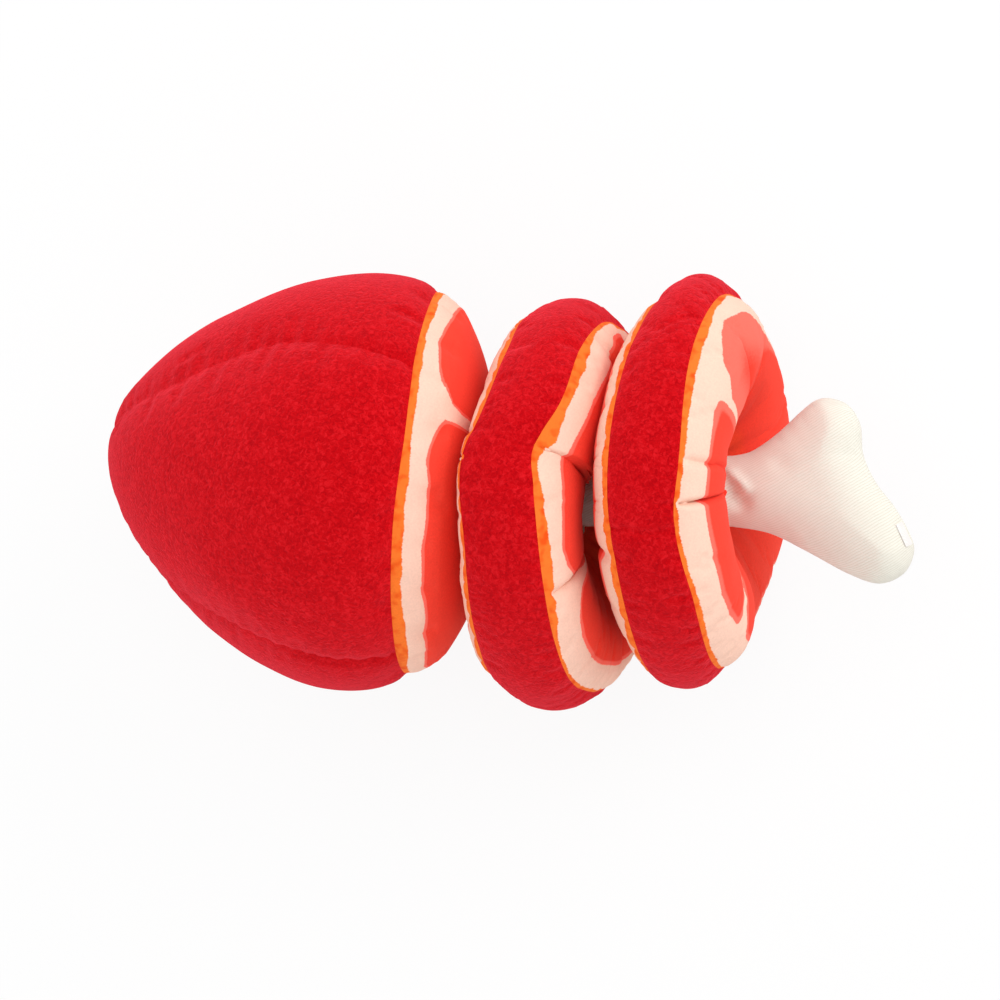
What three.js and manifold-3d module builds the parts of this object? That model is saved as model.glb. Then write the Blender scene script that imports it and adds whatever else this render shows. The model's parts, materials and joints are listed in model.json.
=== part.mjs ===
// A stuffed, squeaking ham toy: a fleece ham with a printed cut face, a twill bone sewn into that face,
// and two loose ham slices threaded on the bone. Millimetres. X runs from the ham's tip to the bone's
// knuckle, Z is up, and the toy lies on its side on Z = 0.
import * as THREE from 'three';
import { mergeVertices } from 'three/addons/utils/BufferGeometryUtils.js';
import Module from 'manifold-3d';

const wasm = await Module();
wasm.setup();

const degree = Math.PI / 180;

// Clearances and cloth
const seamGap = 0.3;            // left between two pieces that are sewn or laid together
const fleeceThickness = 2;
const printThickness = 1.6;
const twillThickness = 1.2;
const restFlatDepth = 0.5;      // how far the stuffing flattens where it lies on a surface
const overrun = 5;              // how far a cutting solid runs past what it cuts

// Ham
const hamLength = 103.5;        // tip to the seam round the cut face
const hamRadius = 68.8;
const hamWidestAt = 83.8;       // from the tip
const hamSeamDrop = 4.3;         // how far the seam round the cut face lies inside the widest ring
const hamSeamRadius = hamRadius - hamSeamDrop;
const hamFaceBulge = 25;        // how far the stuffing pushes the cut face out
const hamTipShift = 10.3;       // the tip lies this far to the +Y side
const hamSeamDraw = 1.2;        // how far the stitching draws each long seam in
const hamFaceLean = 5 * degree;
const hamFaceYaw = 4.9 * degree;
const hamSeamAngles = [42, 125, 211, 300].map((angle) => angle * degree);   // from the top towards +Y
const hamGoreNames = ['ham_gore_left', 'ham_gore_under', 'ham_gore_right', 'ham_gore_top'];
const hamTipBluntShare = 1.7;
const hamTipFullShare = 0.55;
const hamFaceFullShare = 0.65;

// Slices
const sliceUnderHam = 0.8;      // the slices' rims are this much lower than the ham
const sliceRadius = hamRadius - sliceUnderHam;
const sliceRimDrop = 3;         // the rim band is this much lower at its seams than at its crown
const sliceRimWidth = 25;
const sliceThickness = 35;      // at the fullest ring of the printed faces
const sliceBoreRadius = 17.5;
const sliceBoreLength = 16;
const hamToSliceGap = 10;
const sliceToSliceGap = 8.8;
const sliceFaceBendShares = [0.15, 0.66];
const slices = [
  { name: 'slice_1', sideShift: -3.9, lean: -10.5 * degree, yaw: 3.5 * degree },
  { name: 'slice_2', sideShift: 3.8, lean: -10.5 * degree, yaw: -0.5 * degree },
];

// Bone
const boneShaftRadius = 12;
const boneRootDepth = 8;        // how far the shaft runs on behind the cut face
const boneRootFlange = 6;       // the seam allowance turned out round the root
const boneNeckPastSlice = 10;   // the knuckle starts to widen this far past the second slice's middle
const boneKnuckleLength = 59.9;
const boneKnuckleWidth = 62;
const boneKnuckleThickness = 27;
// Along the knuckle, its +Y edge, its -Y edge and its half thickness
const boneKnuckleShares = [
  [0.10, 0.53, -0.41, 0.91],
  [0.20, 0.68, -0.47, 0.94],
  [0.33, 0.85, -0.58, 0.98],
  [0.47, 0.98, -0.71, 1.00],
  [0.60, 0.94, -0.86, 0.96],
  [0.69, 0.80, -0.94, 0.89],
  [0.74, 0.27, -0.97, 0.81],
  [0.83, -0.01, -0.98, 0.74],
  [0.92, -0.22, -0.92, 0.59],
  [0.97, -0.37, -0.80, 0.38],
];
const boneTipShare = -0.57;
const labelLength = 7;
const labelReach = 2.4;         // how far the folded label stands out of the knuckle's seam
const labelThickness = 0.8;
const labelAlongShare = 0.98;
const labelSideShare = -0.44;
const labelTurn = 25 * degree;

// Squeaker
const squeakerFromSeam = 42;
const bulbRadius = 24;
const bulbHeight = 28;
const bulbWall = 1.2;
const bulbShoulder = 8;         // height of the stiff base and of the crown, above and below the bellows
const crownDrop = 4.8;          // height of the crown's rounded top
const crownShares = [[0.55, 0.12], [0.85, 0.5], [1, 1]];   // out from its middle, and down its rounded top
const bellowsWall = 1;
const bellowsFold = 3;          // depth of a fold of the bellows
const bellowsFolds = 3;
const reedHolderRadius = 5.5;
const reedHolderLength = 14;
const reedHolderWall = 1.4;
const reedHolderReach = 3;      // how far it stands up inside the bulb
const reedLength = 9;
const reedThickness = 0.5;
const reedWidth = 4;

// Facets
const stepsPerGore = 7;
const hamSteps = 9;
const taperSteps = 2;
const domeSteps = 6;
const goreCuts = 4;
const sliceSegments = 27;        // an odd count lays a facet on the floor
const faceSteps = 5;
const rimSteps = 4;
const boneSides = 20;
const smallSides = 20;

// A closed triangle mesh with its shared corners merged, its slivers dropped and its faces pointing out
function closedMesh(geometry) {
  const bare = new THREE.BufferGeometry();
  bare.setAttribute('position', geometry.attributes.position.clone());
  if (geometry.index) bare.setIndex(geometry.index.clone());
  const merged = mergeVertices(bare);
  const corners = merged.attributes.position;
  const kept = [];
  let volume = 0;
  const [a, b, c] = [new THREE.Vector3(), new THREE.Vector3(), new THREE.Vector3()];
  for (let i = 0; i < merged.index.count; i += 3) {
    const [p, q, r] = [0, 1, 2].map((k) => merged.index.getX(i + k));
    if (p === q || q === r || r === p) continue;
    a.fromBufferAttribute(corners, p);
    b.fromBufferAttribute(corners, q);
    c.fromBufferAttribute(corners, r);
    volume += a.dot(b.cross(c));
    kept.push([p, q, r]);
  }
  const facing = volume < 0 ? kept.map(([p, q, r]) => [p, r, q]) : kept;
  merged.setIndex(facing.flat());
  return merged;
}

function toSolid(geometry) {
  const mesh = closedMesh(geometry);
  return new wasm.Manifold(new wasm.Mesh({
    numProp: 3,
    vertProperties: new Float32Array(mesh.attributes.position.array),
    triVerts: new Uint32Array(mesh.index.array),
  }));
}

function toGeometry(solid) {
  const mesh = solid.getMesh();
  const geometry = new THREE.BufferGeometry();
  geometry.setAttribute('position', new THREE.BufferAttribute(new Float32Array(mesh.vertProperties), 3));
  geometry.setIndex(new THREE.BufferAttribute(new Uint32Array(mesh.triVerts), 1));
  return geometry;
}

// A solid skin over rings of points, closed by a fan from one point at each end
function loft(rings, startPoint, endPoint) {
  const count = rings[0].length;
  const points = [...rings.flat(), startPoint, endPoint];
  const start = points.length - 2;
  const end = points.length - 1;
  const index = [];
  for (let j = 0; j < count; j += 1) {
    const next = (j + 1) % count;
    index.push(start, j, next);
    for (let i = 0; i + 1 < rings.length; i += 1) {
      const here = i * count;
      const there = here + count;
      index.push(here + j, there + j, here + next);
      index.push(here + next, there + j, there + next);
    }
    const last = (rings.length - 1) * count;
    index.push(end, last + next, last + j);
  }
  const geometry = new THREE.BufferGeometry().setFromPoints(points);
  geometry.setIndex(index);
  return toSolid(geometry);
}

function middleOf(ring) {
  const sum = ring.reduce((total, point) => total.add(point), new THREE.Vector3());
  return sum.divideScalar(ring.length);
}

function plainLoft(rings) {
  return loft(rings, middleOf(rings[0]), middleOf(rings[rings.length - 1]));
}

// A closed outline of [radius, along] pairs turned about an axis
function turned(outline, segments, axis) {
  const profile = [...outline, outline[0]].map(([radius, along]) => new THREE.Vector2(radius, along));
  const geometry = new THREE.LatheGeometry(profile, segments);
  if (axis === 'x') geometry.rotateZ(-Math.PI / 2);
  if (axis === 'z') geometry.rotateX(Math.PI / 2);
  return toSolid(geometry);
}

function block(sizeX, sizeY, sizeZ, x, y, z) {
  return toSolid(new THREE.BoxGeometry(sizeX, sizeY, sizeZ).translate(x, y, z));
}

function fabric(name, solid, color, roughness) {
  const material = new THREE.MeshStandardMaterial({ color, roughness, metalness: 0 });
  const mesh = new THREE.Mesh(toGeometry(solid), material);
  mesh.name = name;
  return mesh;
}

const fleece = (name, solid) => fabric(name, solid, '#c10d22', 0.95);
const printedPlush = (name, solid) => fabric(name, solid, '#f4402f', 0.8);
const twill = (name, solid) => fabric(name, solid, '#f0eadb', 0.85);
const fibreFill = (name, solid) => fabric(name, solid, '#f5f5f2', 1);
const liningCloth = (name, solid) => fabric(name, solid, '#e9d9cb', 0.9);
const softPlastic = (name, solid) => fabric(name, solid, '#e8eef2', 0.4);

// The ham's centre line, and its sections tilting from upright at the tip to the lean of the cut face
const faceTurn = new THREE.Euler(0, hamFaceLean, -hamFaceYaw, 'ZYX');
const hamSeamShift = hamFaceBulge * Math.sin(hamFaceYaw);

function onHam(x, outward, side, up) {
  const along = Math.min(Math.max(x, 0), hamLength);
  const share = along / hamLength;
  const tilt = new THREE.Euler(0, faceTurn.y * share, faceTurn.z * share, 'ZYX');
  const point = new THREE.Vector3(outward, side, up).applyEuler(tilt);
  const shift = hamSeamShift + hamTipShift * (1 - share) ** 2;
  return point.add(new THREE.Vector3(x, shift, 0));
}

// Angles round the ham with a step on every seam, and how full the gore is there, from 0 at a seam to 1
const hamAngles = hamSeamAngles.flatMap((from, gore) => {
  const to = gore + 1 < hamSeamAngles.length ? hamSeamAngles[gore + 1] : hamSeamAngles[0] + 2 * Math.PI;
  return Array.from({ length: stepsPerGore }, (_, step) => {
    const share = step / stepsPerGore;
    return { angle: from + (to - from) * share, fullness: 4 * share * (1 - share) };
  });
});

function hamRing(x, outward, radius, inset) {
  return hamAngles.map(({ angle, fullness }) => {
    const drawn = radius - hamSeamDraw * (1 - fullness) * (radius / hamRadius);
    return onHam(x, outward, (drawn - inset) * Math.sin(angle), (drawn - inset) * Math.cos(angle));
  });
}

// The stuffed ham, with its surface moved in by inset
function hamBody(inset) {
  const rings = [];
  for (let step = 1; step <= hamSteps; step += 1) {
    const share = 1 - Math.cos((step / hamSteps) * Math.PI / 2);
    const fullness = (1 - (1 - share) ** hamTipBluntShare) ** hamTipFullShare;
    const x = inset + (hamWidestAt - inset) * share;
    rings.push(hamRing(x, 0, (hamRadius - inset) * fullness, 0));
  }
  const taper = hamLength - hamWidestAt;
  for (let step = 1; step <= taperSteps; step += 1) {
    const share = step / taperSteps;
    const radius = hamRadius - (hamRadius - hamSeamRadius) * share ** 2;
    rings.push(hamRing(hamWidestAt + taper * share, 0, radius, inset));
  }
  for (let step = 1; step < domeSteps; step += 1) {
    const turn = (step / domeSteps) * Math.PI / 2;
    const rise = (hamFaceBulge - inset) * Math.sin(turn) ** (2 * hamFaceFullShare);
    rings.push(hamRing(hamLength, rise, (hamSeamRadius - inset) * Math.cos(turn), 0));
  }
  return loft(rings, onHam(inset, 0, 0, 0), onHam(hamLength, hamFaceBulge - inset, 0, 0));
}

// One gore's share of the space round the ham, its sides half a seam gap inside the seams
function goreSpace(from, to) {
  const middle = (from + to) / 2;
  const back = (seamGap / 2) / Math.sin((to - from) / 2);
  const reach = hamRadius + overrun;
  const cuts = Array.from({ length: goreCuts + 1 }, (_, cut) => hamLength * (cut / goreCuts));
  const stations = [-overrun, ...cuts];
  return plainLoft(stations.map((x) => {
    const ring = [];
    for (let step = 0; step <= stepsPerGore; step += 1) {
      const angle = from + (to - from) * (step / stepsPerGore);
      const side = back * Math.sin(middle) + reach * Math.sin(angle);
      ring.push(onHam(x, 0, side, back * Math.cos(middle) + reach * Math.cos(angle)));
    }
    ring.push(onHam(x, 0, back * Math.sin(middle), back * Math.cos(middle)));
    return ring;
  }));
}

function squareRing(x, outward, reach) {
  return [[-1, 1], [1, 1], [1, -1], [-1, -1]].map(([side, up]) => onHam(x, outward, side * reach, up * reach));
}

// Everything behind or before the seam plane, seen from the tip
function seamSide(beyond) {
  const reach = hamRadius + overrun;
  const near = beyond ? seamGap / 2 : -hamLength - overrun;
  const far = beyond ? hamFaceBulge + overrun : -seamGap / 2;
  return plainLoft([squareRing(hamLength, near, reach), squareRing(hamLength, far, reach)]);
}

const hamOuter = hamBody(0);
const hamUnder = hamBody(fleeceThickness);
const hamFaceUnder = hamBody(printThickness);
const hamStuffing = hamBody(fleeceThickness + seamGap);

function lowestOf(solid) {
  const corners = toGeometry(solid);
  corners.computeBoundingBox();
  return corners.boundingBox.min.z;
}

const hamAxisHeight = -lowestOf(hamOuter) - restFlatDepth;
const boneAxis = onHam(hamLength, hamFaceBulge, 0, 0).add(new THREE.Vector3(0, 0, hamAxisHeight));
const floorReach = 2 * (hamLength + hamFaceBulge + 2 * sliceThickness + boneKnuckleLength);
const floorBlock = block(floorReach, floorReach, floorReach, 0, 0, -floorReach / 2);

// Where the bone stands along the toy
const sliceAt = [hamLength + hamFaceBulge + hamToSliceGap + sliceThickness / 2];
sliceAt.push(sliceAt[0] + sliceThickness + sliceToSliceGap);
const boneRootAt = boneAxis.x - printThickness - boneRootDepth;
const boneNeckAt = sliceAt[1] + boneNeckPastSlice;

function boneRing(x, plusEdge, minusEdge, halfThickness) {
  const middle = (plusEdge + minusEdge) / 2;
  const halfWidth = (plusEdge - minusEdge) / 2;
  return Array.from({ length: boneSides }, (_, side) => {
    const angle = (side / boneSides) * 2 * Math.PI;
    const y = boneAxis.y + middle + halfWidth * Math.sin(angle);
    return new THREE.Vector3(x, y, boneAxis.z + halfThickness * Math.cos(angle));
  });
}

// The stuffed bone, with its surface moved in by inset, from a plane behind its root
function boneBody(inset, rootAt) {
  const shaft = boneShaftRadius - inset;
  const rings = [boneRing(rootAt, shaft, -shaft, shaft), boneRing(boneNeckAt, shaft, -shaft, shaft)];
  const length = boneKnuckleLength - inset;
  const halfWidth = boneKnuckleWidth / 2;
  for (const [along, plusShare, minusShare, fullShare] of boneKnuckleShares) {
    const halfThickness = fullShare * boneKnuckleThickness / 2 - inset;
    const plusEdge = plusShare * halfWidth - inset;
    rings.push(boneRing(boneNeckAt + along * length, plusEdge, minusShare * halfWidth + inset, halfThickness));
  }
  const tip = new THREE.Vector3(boneNeckAt + length, boneAxis.y + boneTipShare * halfWidth, boneAxis.z);
  return loft(rings, middleOf(rings[0]), tip);
}

function roundBar(radius, fromX, toX) {
  const bar = turned([[0, fromX], [radius, fromX], [radius, toX], [0, toX]], boneSides, 'x');
  return bar.translate([0, boneAxis.y, boneAxis.z]);
}

function makeHam() {
  const group = new THREE.Group();
  group.name = 'ham';
  const lift = [0, 0, hamAxisHeight];
  const skin = hamOuter.subtract(hamUnder).intersect(seamSide(false));
  hamSeamAngles.forEach((from, gore) => {
    const wrapped = gore + 1 === hamSeamAngles.length;
    const to = wrapped ? hamSeamAngles[0] + 2 * Math.PI : hamSeamAngles[gore + 1];
    const panel = skin.intersect(goreSpace(from, to)).translate(lift).subtract(floorBlock);
    group.add(fleece(hamGoreNames[gore], panel));
  });
  const boneHole = roundBar(boneShaftRadius + seamGap, boneRootAt, boneNeckAt);
  const face = hamOuter.subtract(hamFaceUnder).intersect(seamSide(true)).translate(lift);
  group.add(printedPlush('ham_cut_face', face.subtract(boneHole)));
  return group;
}

// The squeaker stands upright in the middle of the ham
const squeakerAt = onHam(hamLength - squeakerFromSeam, 0, 0, 0);
const bulbBottom = hamAxisHeight - bulbHeight / 2;
const bulbTop = hamAxisHeight + bulbHeight / 2;
const bellowsFrom = bulbBottom + bulbShoulder + seamGap / 2;
const bellowsTo = bulbTop - bulbShoulder - seamGap / 2;
const neckRadius = reedHolderRadius + seamGap + bulbWall;
const neckBottom = bulbBottom + bulbWall + reedHolderReach - reedHolderLength;

function upright(outline) {
  return turned(outline, smallSides, 'z').translate([squeakerAt.x, squeakerAt.y, 0]);
}

function makeSqueaker() {
  const shoulderTop = bulbBottom + bulbShoulder - seamGap / 2;
  const inner = bulbRadius - bulbWall;
  const floorTop = bulbBottom + bulbWall;
  const holderHole = reedHolderRadius + seamGap;
  const base = upright([
    [holderHole, neckBottom + bulbWall], [neckRadius, neckBottom + bulbWall], [neckRadius, bulbBottom],
    [inner, bulbBottom], [bulbRadius, floorTop], [bulbRadius, shoulderTop],
    [inner, shoulderTop], [inner, floorTop + bulbWall], [inner - bulbWall, floorTop], [holderHole, floorTop],
  ]);
  const crownBottom = bulbTop - bulbShoulder + seamGap / 2;
  const domed = (radius, top) => crownShares.map(([out, down]) => [radius * out, top - crownDrop * down]);
  const crown = upright([
    [0, bulbTop], ...domed(bulbRadius, bulbTop), [bulbRadius, crownBottom],
    [inner, crownBottom], ...domed(inner, bulbTop - bulbWall).reverse(), [0, bulbTop - bulbWall],
  ]);
  const outside = [];
  const inside = [];
  for (let fold = 0; fold <= 2 * bellowsFolds; fold += 1) {
    const z = bellowsFrom + (bellowsTo - bellowsFrom) * (fold / (2 * bellowsFolds));
    const radius = fold % 2 ? bulbRadius - bellowsFold : bulbRadius;
    outside.push([radius, z]);
    inside.unshift([radius - bellowsWall, z]);
  }
  const bellows = upright([...outside, ...inside]);
  const holderTop = floorTop + reedHolderReach;
  const bore = reedHolderRadius - reedHolderWall;
  const tube = upright([
    [bore, neckBottom], [reedHolderRadius, neckBottom], [reedHolderRadius, holderTop - reedHolderWall],
    [reedHolderRadius, holderTop], [bore, holderTop],
  ]);
  // A bar across the tube carries the reed, which lies along one side of it
  const barThickness = reedHolderWall;
  const barHeight = reedHolderLength - reedHolderReach;
  const barBottom = neckBottom + (reedHolderLength - barHeight) / 2;
  const bar = block(barThickness, 2 * bore + reedHolderWall, barHeight,
    squeakerAt.x, squeakerAt.y, barBottom + barHeight / 2);
  const reedX = squeakerAt.x + barThickness / 2 + seamGap + reedThickness / 2;
  const reed = block(reedThickness, reedWidth, reedLength, reedX, squeakerAt.y, barBottom + barHeight / 2);
  const group = new THREE.Group();
  group.name = 'squeaker';
  group.add(softPlastic('squeaker_base', base));
  group.add(softPlastic('squeaker_bellows', bellows));
  group.add(softPlastic('squeaker_crown', crown));
  group.add(softPlastic('reed_holder', tube.add(bar)));
  group.add(softPlastic('reed', reed));
  return group;
}

// The ham's stuffing, parted at the squeaker's mid height, with room for the squeaker and the bone's root
function makeStuffing() {
  const rootRoom = roundBar(boneShaftRadius + boneRootFlange + seamGap, boneRootAt - seamGap, boneNeckAt);
  const bulbRoom = upright([
    [0, bulbBottom - seamGap], [bulbRadius + seamGap, bulbBottom - seamGap],
    [bulbRadius + seamGap, bulbTop + seamGap], [0, bulbTop + seamGap],
  ]);
  const neckRoom = upright([
    [0, neckBottom - seamGap], [neckRadius + seamGap, neckBottom - seamGap],
    [neckRadius + seamGap, bulbTop], [0, bulbTop],
  ]);
  const stuffing = hamStuffing.translate([0, 0, hamAxisHeight]).subtract(rootRoom).subtract(bulbRoom);
  const whole = stuffing.subtract(neckRoom);
  const reach = 2 * (hamLength + hamFaceBulge);
  const upper = block(reach, reach, reach, 0, 0, hamAxisHeight + seamGap / 2 + reach / 2);
  const lower = block(reach, reach, reach, 0, 0, hamAxisHeight - seamGap / 2 - reach / 2);
  const group = new THREE.Group();
  group.name = 'ham_stuffing';
  group.add(fibreFill('ham_filling_upper', whole.intersect(upper)));
  group.add(fibreFill('ham_filling_lower', whole.intersect(lower)));
  return group;
}

function makeBone() {
  const group = new THREE.Group();
  group.name = 'bone';
  const flange = roundBar(boneShaftRadius + boneRootFlange, boneRootAt, boneRootAt + twillThickness);
  const outer = boneBody(0, boneRootAt).add(flange);
  const skin = outer.subtract(boneBody(twillThickness, boneRootAt - overrun));
  const reach = 2 * (boneNeckAt + boneKnuckleLength);
  const upper = block(reach, reach, reach, 0, 0, boneAxis.z + seamGap / 2 + reach / 2);
  const lower = block(reach, reach, reach, 0, 0, boneAxis.z - seamGap / 2 - reach / 2);
  group.add(twill('bone_cover_top', skin.intersect(upper)));
  group.add(twill('bone_cover_under', skin.intersect(lower)));
  const stuffing = boneBody(twillThickness + seamGap, boneRootAt);
  const beforeNeck = block(reach, reach, reach, boneNeckAt - seamGap / 2 - reach / 2, 0, 0);
  const pastNeck = block(reach, reach, reach, boneNeckAt + seamGap / 2 + reach / 2, 0, 0);
  group.add(fibreFill('bone_shaft_filling', stuffing.intersect(beforeNeck)));
  group.add(fibreFill('bone_knuckle_filling', stuffing.intersect(pastNeck)));
  const label = new THREE.BoxGeometry(2 * labelReach, labelLength, labelThickness);
  label.rotateZ(labelTurn);
  const labelX = boneNeckAt + labelAlongShare * boneKnuckleLength;
  label.translate(labelX, boneAxis.y + labelSideShare * boneKnuckleWidth / 2, boneAxis.z);
  group.add(twill('bone_label', toSolid(label).subtract(boneBody(-seamGap, boneRootAt))));
  return group;
}

// Half of a slice's outline as [radius, along], from the crown of the rim to the middle of the bore
function sliceOutline() {
  const seamRadius = sliceRadius - sliceRimDrop;
  const halfRim = sliceRimWidth / 2;
  const halfBore = sliceBoreLength / 2;
  const rim = [];
  for (let step = 0; step <= rimSteps; step += 1) {
    const share = 2 * step / rimSteps - 1;
    rim.push([sliceRadius - sliceRimDrop * share ** 2, halfRim * share]);
  }
  const span = seamRadius - sliceBoreRadius;
  const [firstBend, lastBend] = sliceFaceBendShares;
  // The curve's middle, an eighth of its ends and three eighths of its bends, lies at half the thickness
  const reach = (8 * (sliceThickness / 2) - halfRim - halfBore) / 6;
  const bend = new THREE.CubicBezierCurve(
    new THREE.Vector2(seamRadius, halfRim), new THREE.Vector2(seamRadius - firstBend * span, reach),
    new THREE.Vector2(seamRadius - lastBend * span, reach), new THREE.Vector2(sliceBoreRadius, halfBore),
  );
  const face = bend.getPoints(faceSteps).map((point) => [point.x, point.y]);
  const mirrored = face.map(([radius, along]) => [radius, -along]).reverse();
  return { rim, face, lining: [[sliceBoreRadius, halfBore], [sliceBoreRadius, -halfBore]], mirrored };
}

// The closed outline moved inwards, with its corners mitred
function movedIn(outline, distance) {
  return outline.map(([radius, along], i) => {
    const [beforeR, beforeA] = outline[(i + outline.length - 1) % outline.length];
    const [afterR, afterA] = outline[(i + 1) % outline.length];
    const into = new THREE.Vector2(radius - beforeR, along - beforeA).normalize();
    const away = new THREE.Vector2(afterR - radius, afterA - along).normalize();
    const mitre = new THREE.Vector2(-into.y - away.y, into.x + away.x);
    const scale = distance / (1 + into.dot(away));
    return [radius + mitre.x * scale, along + mitre.y * scale];
  });
}

function between([r0, a0], [r1, a1], distance) {
  const share = distance / Math.hypot(r1 - r0, a1 - a0);
  return [r0 + (r1 - r0) * share, a0 + (a1 - a0) * share];
}

// The layer of cloth between two corners of the outline, stopped half a seam gap short of each
function layer(outline, under, from, to) {
  const outer = [];
  const inner = [];
  for (let i = from; i <= to; i += 1) {
    outer.push(outline[i % outline.length]);
    inner.unshift(under[i % outline.length]);
  }
  const last = outer.length - 1;
  const trimmed = [outer, inner.slice().reverse()].map((line) => {
    const ends = [between(line[0], line[1], seamGap / 2), between(line[last], line[last - 1], seamGap / 2)];
    return [ends[0], ...line.slice(1, last), ends[1]];
  });
  return [...trimmed[0], ...trimmed[1].reverse()];
}

function makeSlice({ name, sideShift, lean, yaw }, at) {
  const { rim, face, lining, mirrored } = sliceOutline();
  const outline = [...rim.slice(0, -1), ...face.slice(0, -1), ...lining.slice(0, -1), ...mirrored.slice(0, -1)];
  const corners = {
    rim: [0, rimSteps],
    boneSide: [rimSteps, rimSteps + faceSteps],
    lining: [rimSteps + faceSteps, rimSteps + faceSteps + 1],
    hamSide: [rimSteps + faceSteps + 1, rimSteps + 2 * faceSteps + 1],
  };
  const piece = (thickness, [from, to]) => {
    return turned(layer(outline, movedIn(outline, thickness), from, to), sliceSegments, 'x');
  };
  const group = new THREE.Group();
  group.name = name;
  group.rotation.set(0, lean, -yaw, 'ZYX');
  const whole = turned(outline, sliceSegments, 'x');
  const turn = new THREE.Matrix4().makeRotationFromEuler(group.rotation);
  const height = -lowestOf(whole.transform(turn.toArray())) - restFlatDepth;
  group.position.set(at, boneAxis.y + sideShift, height);
  group.updateMatrix();
  const floorHere = floorBlock.transform(group.matrix.clone().invert().toArray());
  const rimBand = piece(fleeceThickness, corners.rim).subtract(floorHere);
  group.add(fleece(`${name}_rim_band`, rimBand));
  group.add(printedPlush(`${name}_face_bone_side`, piece(printThickness, corners.boneSide)));
  group.add(printedPlush(`${name}_face_ham_side`, piece(printThickness, corners.hamSide)));
  group.add(liningCloth(`${name}_bore_lining`, piece(twillThickness, corners.lining)));
  const filling = turned(movedIn(outline, fleeceThickness + seamGap), sliceSegments, 'x');
  group.add(fibreFill(`${name}_filling`, filling));
  return group;
}

const toy = new THREE.Group();
toy.name = 'stuffed_ham_toy';
toy.add(makeHam());
toy.add(makeStuffing());
toy.add(makeSqueaker());
toy.add(makeBone());
slices.forEach((slice, i) => toy.add(makeSlice(slice, sliceAt[i])));

// The origin lies under the middle of the whole toy
toy.updateMatrixWorld(true);
const bounds = new THREE.Box3().setFromObject(toy, true);
const centre = bounds.getCenter(new THREE.Vector3());
toy.position.set(-centre.x, -centre.y, -bounds.min.z);

export default toy;
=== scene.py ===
# Stuffed ham toy with a twill bone and two loose slices. Lengths in the tables are millimetres, and angles
# are degrees from the top of the toy towards +Y. The objects are in metres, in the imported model's frame.
import json
import math

import bmesh
import bpy
import numpy as np
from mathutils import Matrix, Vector
from mathutils.geometry import delaunay_2d_cdt


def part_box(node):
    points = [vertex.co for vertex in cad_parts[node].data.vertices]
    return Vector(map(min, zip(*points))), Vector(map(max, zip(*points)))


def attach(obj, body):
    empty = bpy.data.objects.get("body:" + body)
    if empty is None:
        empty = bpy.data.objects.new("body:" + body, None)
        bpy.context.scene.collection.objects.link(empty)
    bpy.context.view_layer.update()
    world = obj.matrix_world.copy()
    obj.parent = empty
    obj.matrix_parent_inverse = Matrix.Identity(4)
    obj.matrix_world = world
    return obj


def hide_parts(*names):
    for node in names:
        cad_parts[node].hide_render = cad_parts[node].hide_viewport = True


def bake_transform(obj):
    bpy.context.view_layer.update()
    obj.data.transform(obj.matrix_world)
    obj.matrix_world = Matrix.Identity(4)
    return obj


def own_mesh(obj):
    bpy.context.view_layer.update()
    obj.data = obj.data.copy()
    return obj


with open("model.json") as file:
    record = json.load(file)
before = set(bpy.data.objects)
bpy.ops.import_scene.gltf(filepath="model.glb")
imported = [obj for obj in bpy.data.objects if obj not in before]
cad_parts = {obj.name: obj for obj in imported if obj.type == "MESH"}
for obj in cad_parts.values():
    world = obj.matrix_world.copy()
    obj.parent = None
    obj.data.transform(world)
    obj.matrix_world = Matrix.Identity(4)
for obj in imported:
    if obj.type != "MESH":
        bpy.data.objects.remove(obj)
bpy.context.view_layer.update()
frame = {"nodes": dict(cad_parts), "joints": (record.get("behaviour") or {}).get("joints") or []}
print("frame loaded")

mm = 0.001
# Where the part's own zero, the ham's tip on the surface it lies on, is in the row frame
tipAt = np.array([-136.092, -0.001, 0.0])


# Small tools for curves, noise and cloth

def smoothStep(low, high, value):
    share = np.clip((np.asarray(value, float) - low) / (high - low), 0, 1)
    return share * share * (3 - 2 * share)


def fade(distance, width):
    return np.exp(-(np.asarray(distance, float) / width) ** 2)


def latticeNoise(points, cell, seed):
    # smooth value noise from -1 to 1 over a cubic lattice of that cell size
    scaled = np.asarray(points, float) / cell
    low = np.floor(scaled).astype(np.int64)
    share = scaled - low
    share = share * share * (3 - 2 * share)
    total = np.zeros(scaled.shape[:-1])
    for corner in range(8):
        step = np.array([corner & 1, corner >> 1 & 1, corner >> 2 & 1])
        key = (low + step) @ np.array([73856093, 19349663, 83492791]) + seed * 2654435761
        key = (key ^ (key >> 13)) * 1274126177 & 0x7FFFFFFF
        value = ((key ^ (key >> 16)) & 0xFFFF) / 32767.5 - 1
        weight = np.prod(np.where(step, share, 1 - share), axis=-1)
        total += weight * value
    return total


def lineNoise(value, cell, seed):
    value = np.asarray(value, float)
    return latticeNoise(np.stack([value, value * 0, value * 0], -1), cell, seed)


def ringNoise(angle, lumps, seed):
    # noise that closes on itself round a ring, with about that many lumps
    radius = lumps / (2 * math.pi)
    turn = np.radians(angle)
    circle = np.stack([np.cos(turn) * radius, np.sin(turn) * radius, turn * 0], -1)
    return latticeNoise(circle + 50.5, 1.0, seed)


def throughPoints(at, knots, values):
    # a smooth curve through a few points
    slopes = np.gradient(values, knots)
    index = np.clip(np.searchsorted(knots, at) - 1, 0, len(knots) - 2)
    width = knots[index + 1] - knots[index]
    t = np.clip((at - knots[index]) / width, 0, 1)
    a, b = values[index], values[index + 1]
    ma, mb = slopes[index] * width, slopes[index + 1] * width
    return ((2 * t ** 3 - 3 * t ** 2 + 1) * a + (t ** 3 - 2 * t ** 2 + t) * ma
            + (3 * t ** 2 - 2 * t ** 3) * b + (t ** 3 - t ** 2) * mb)


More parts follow.
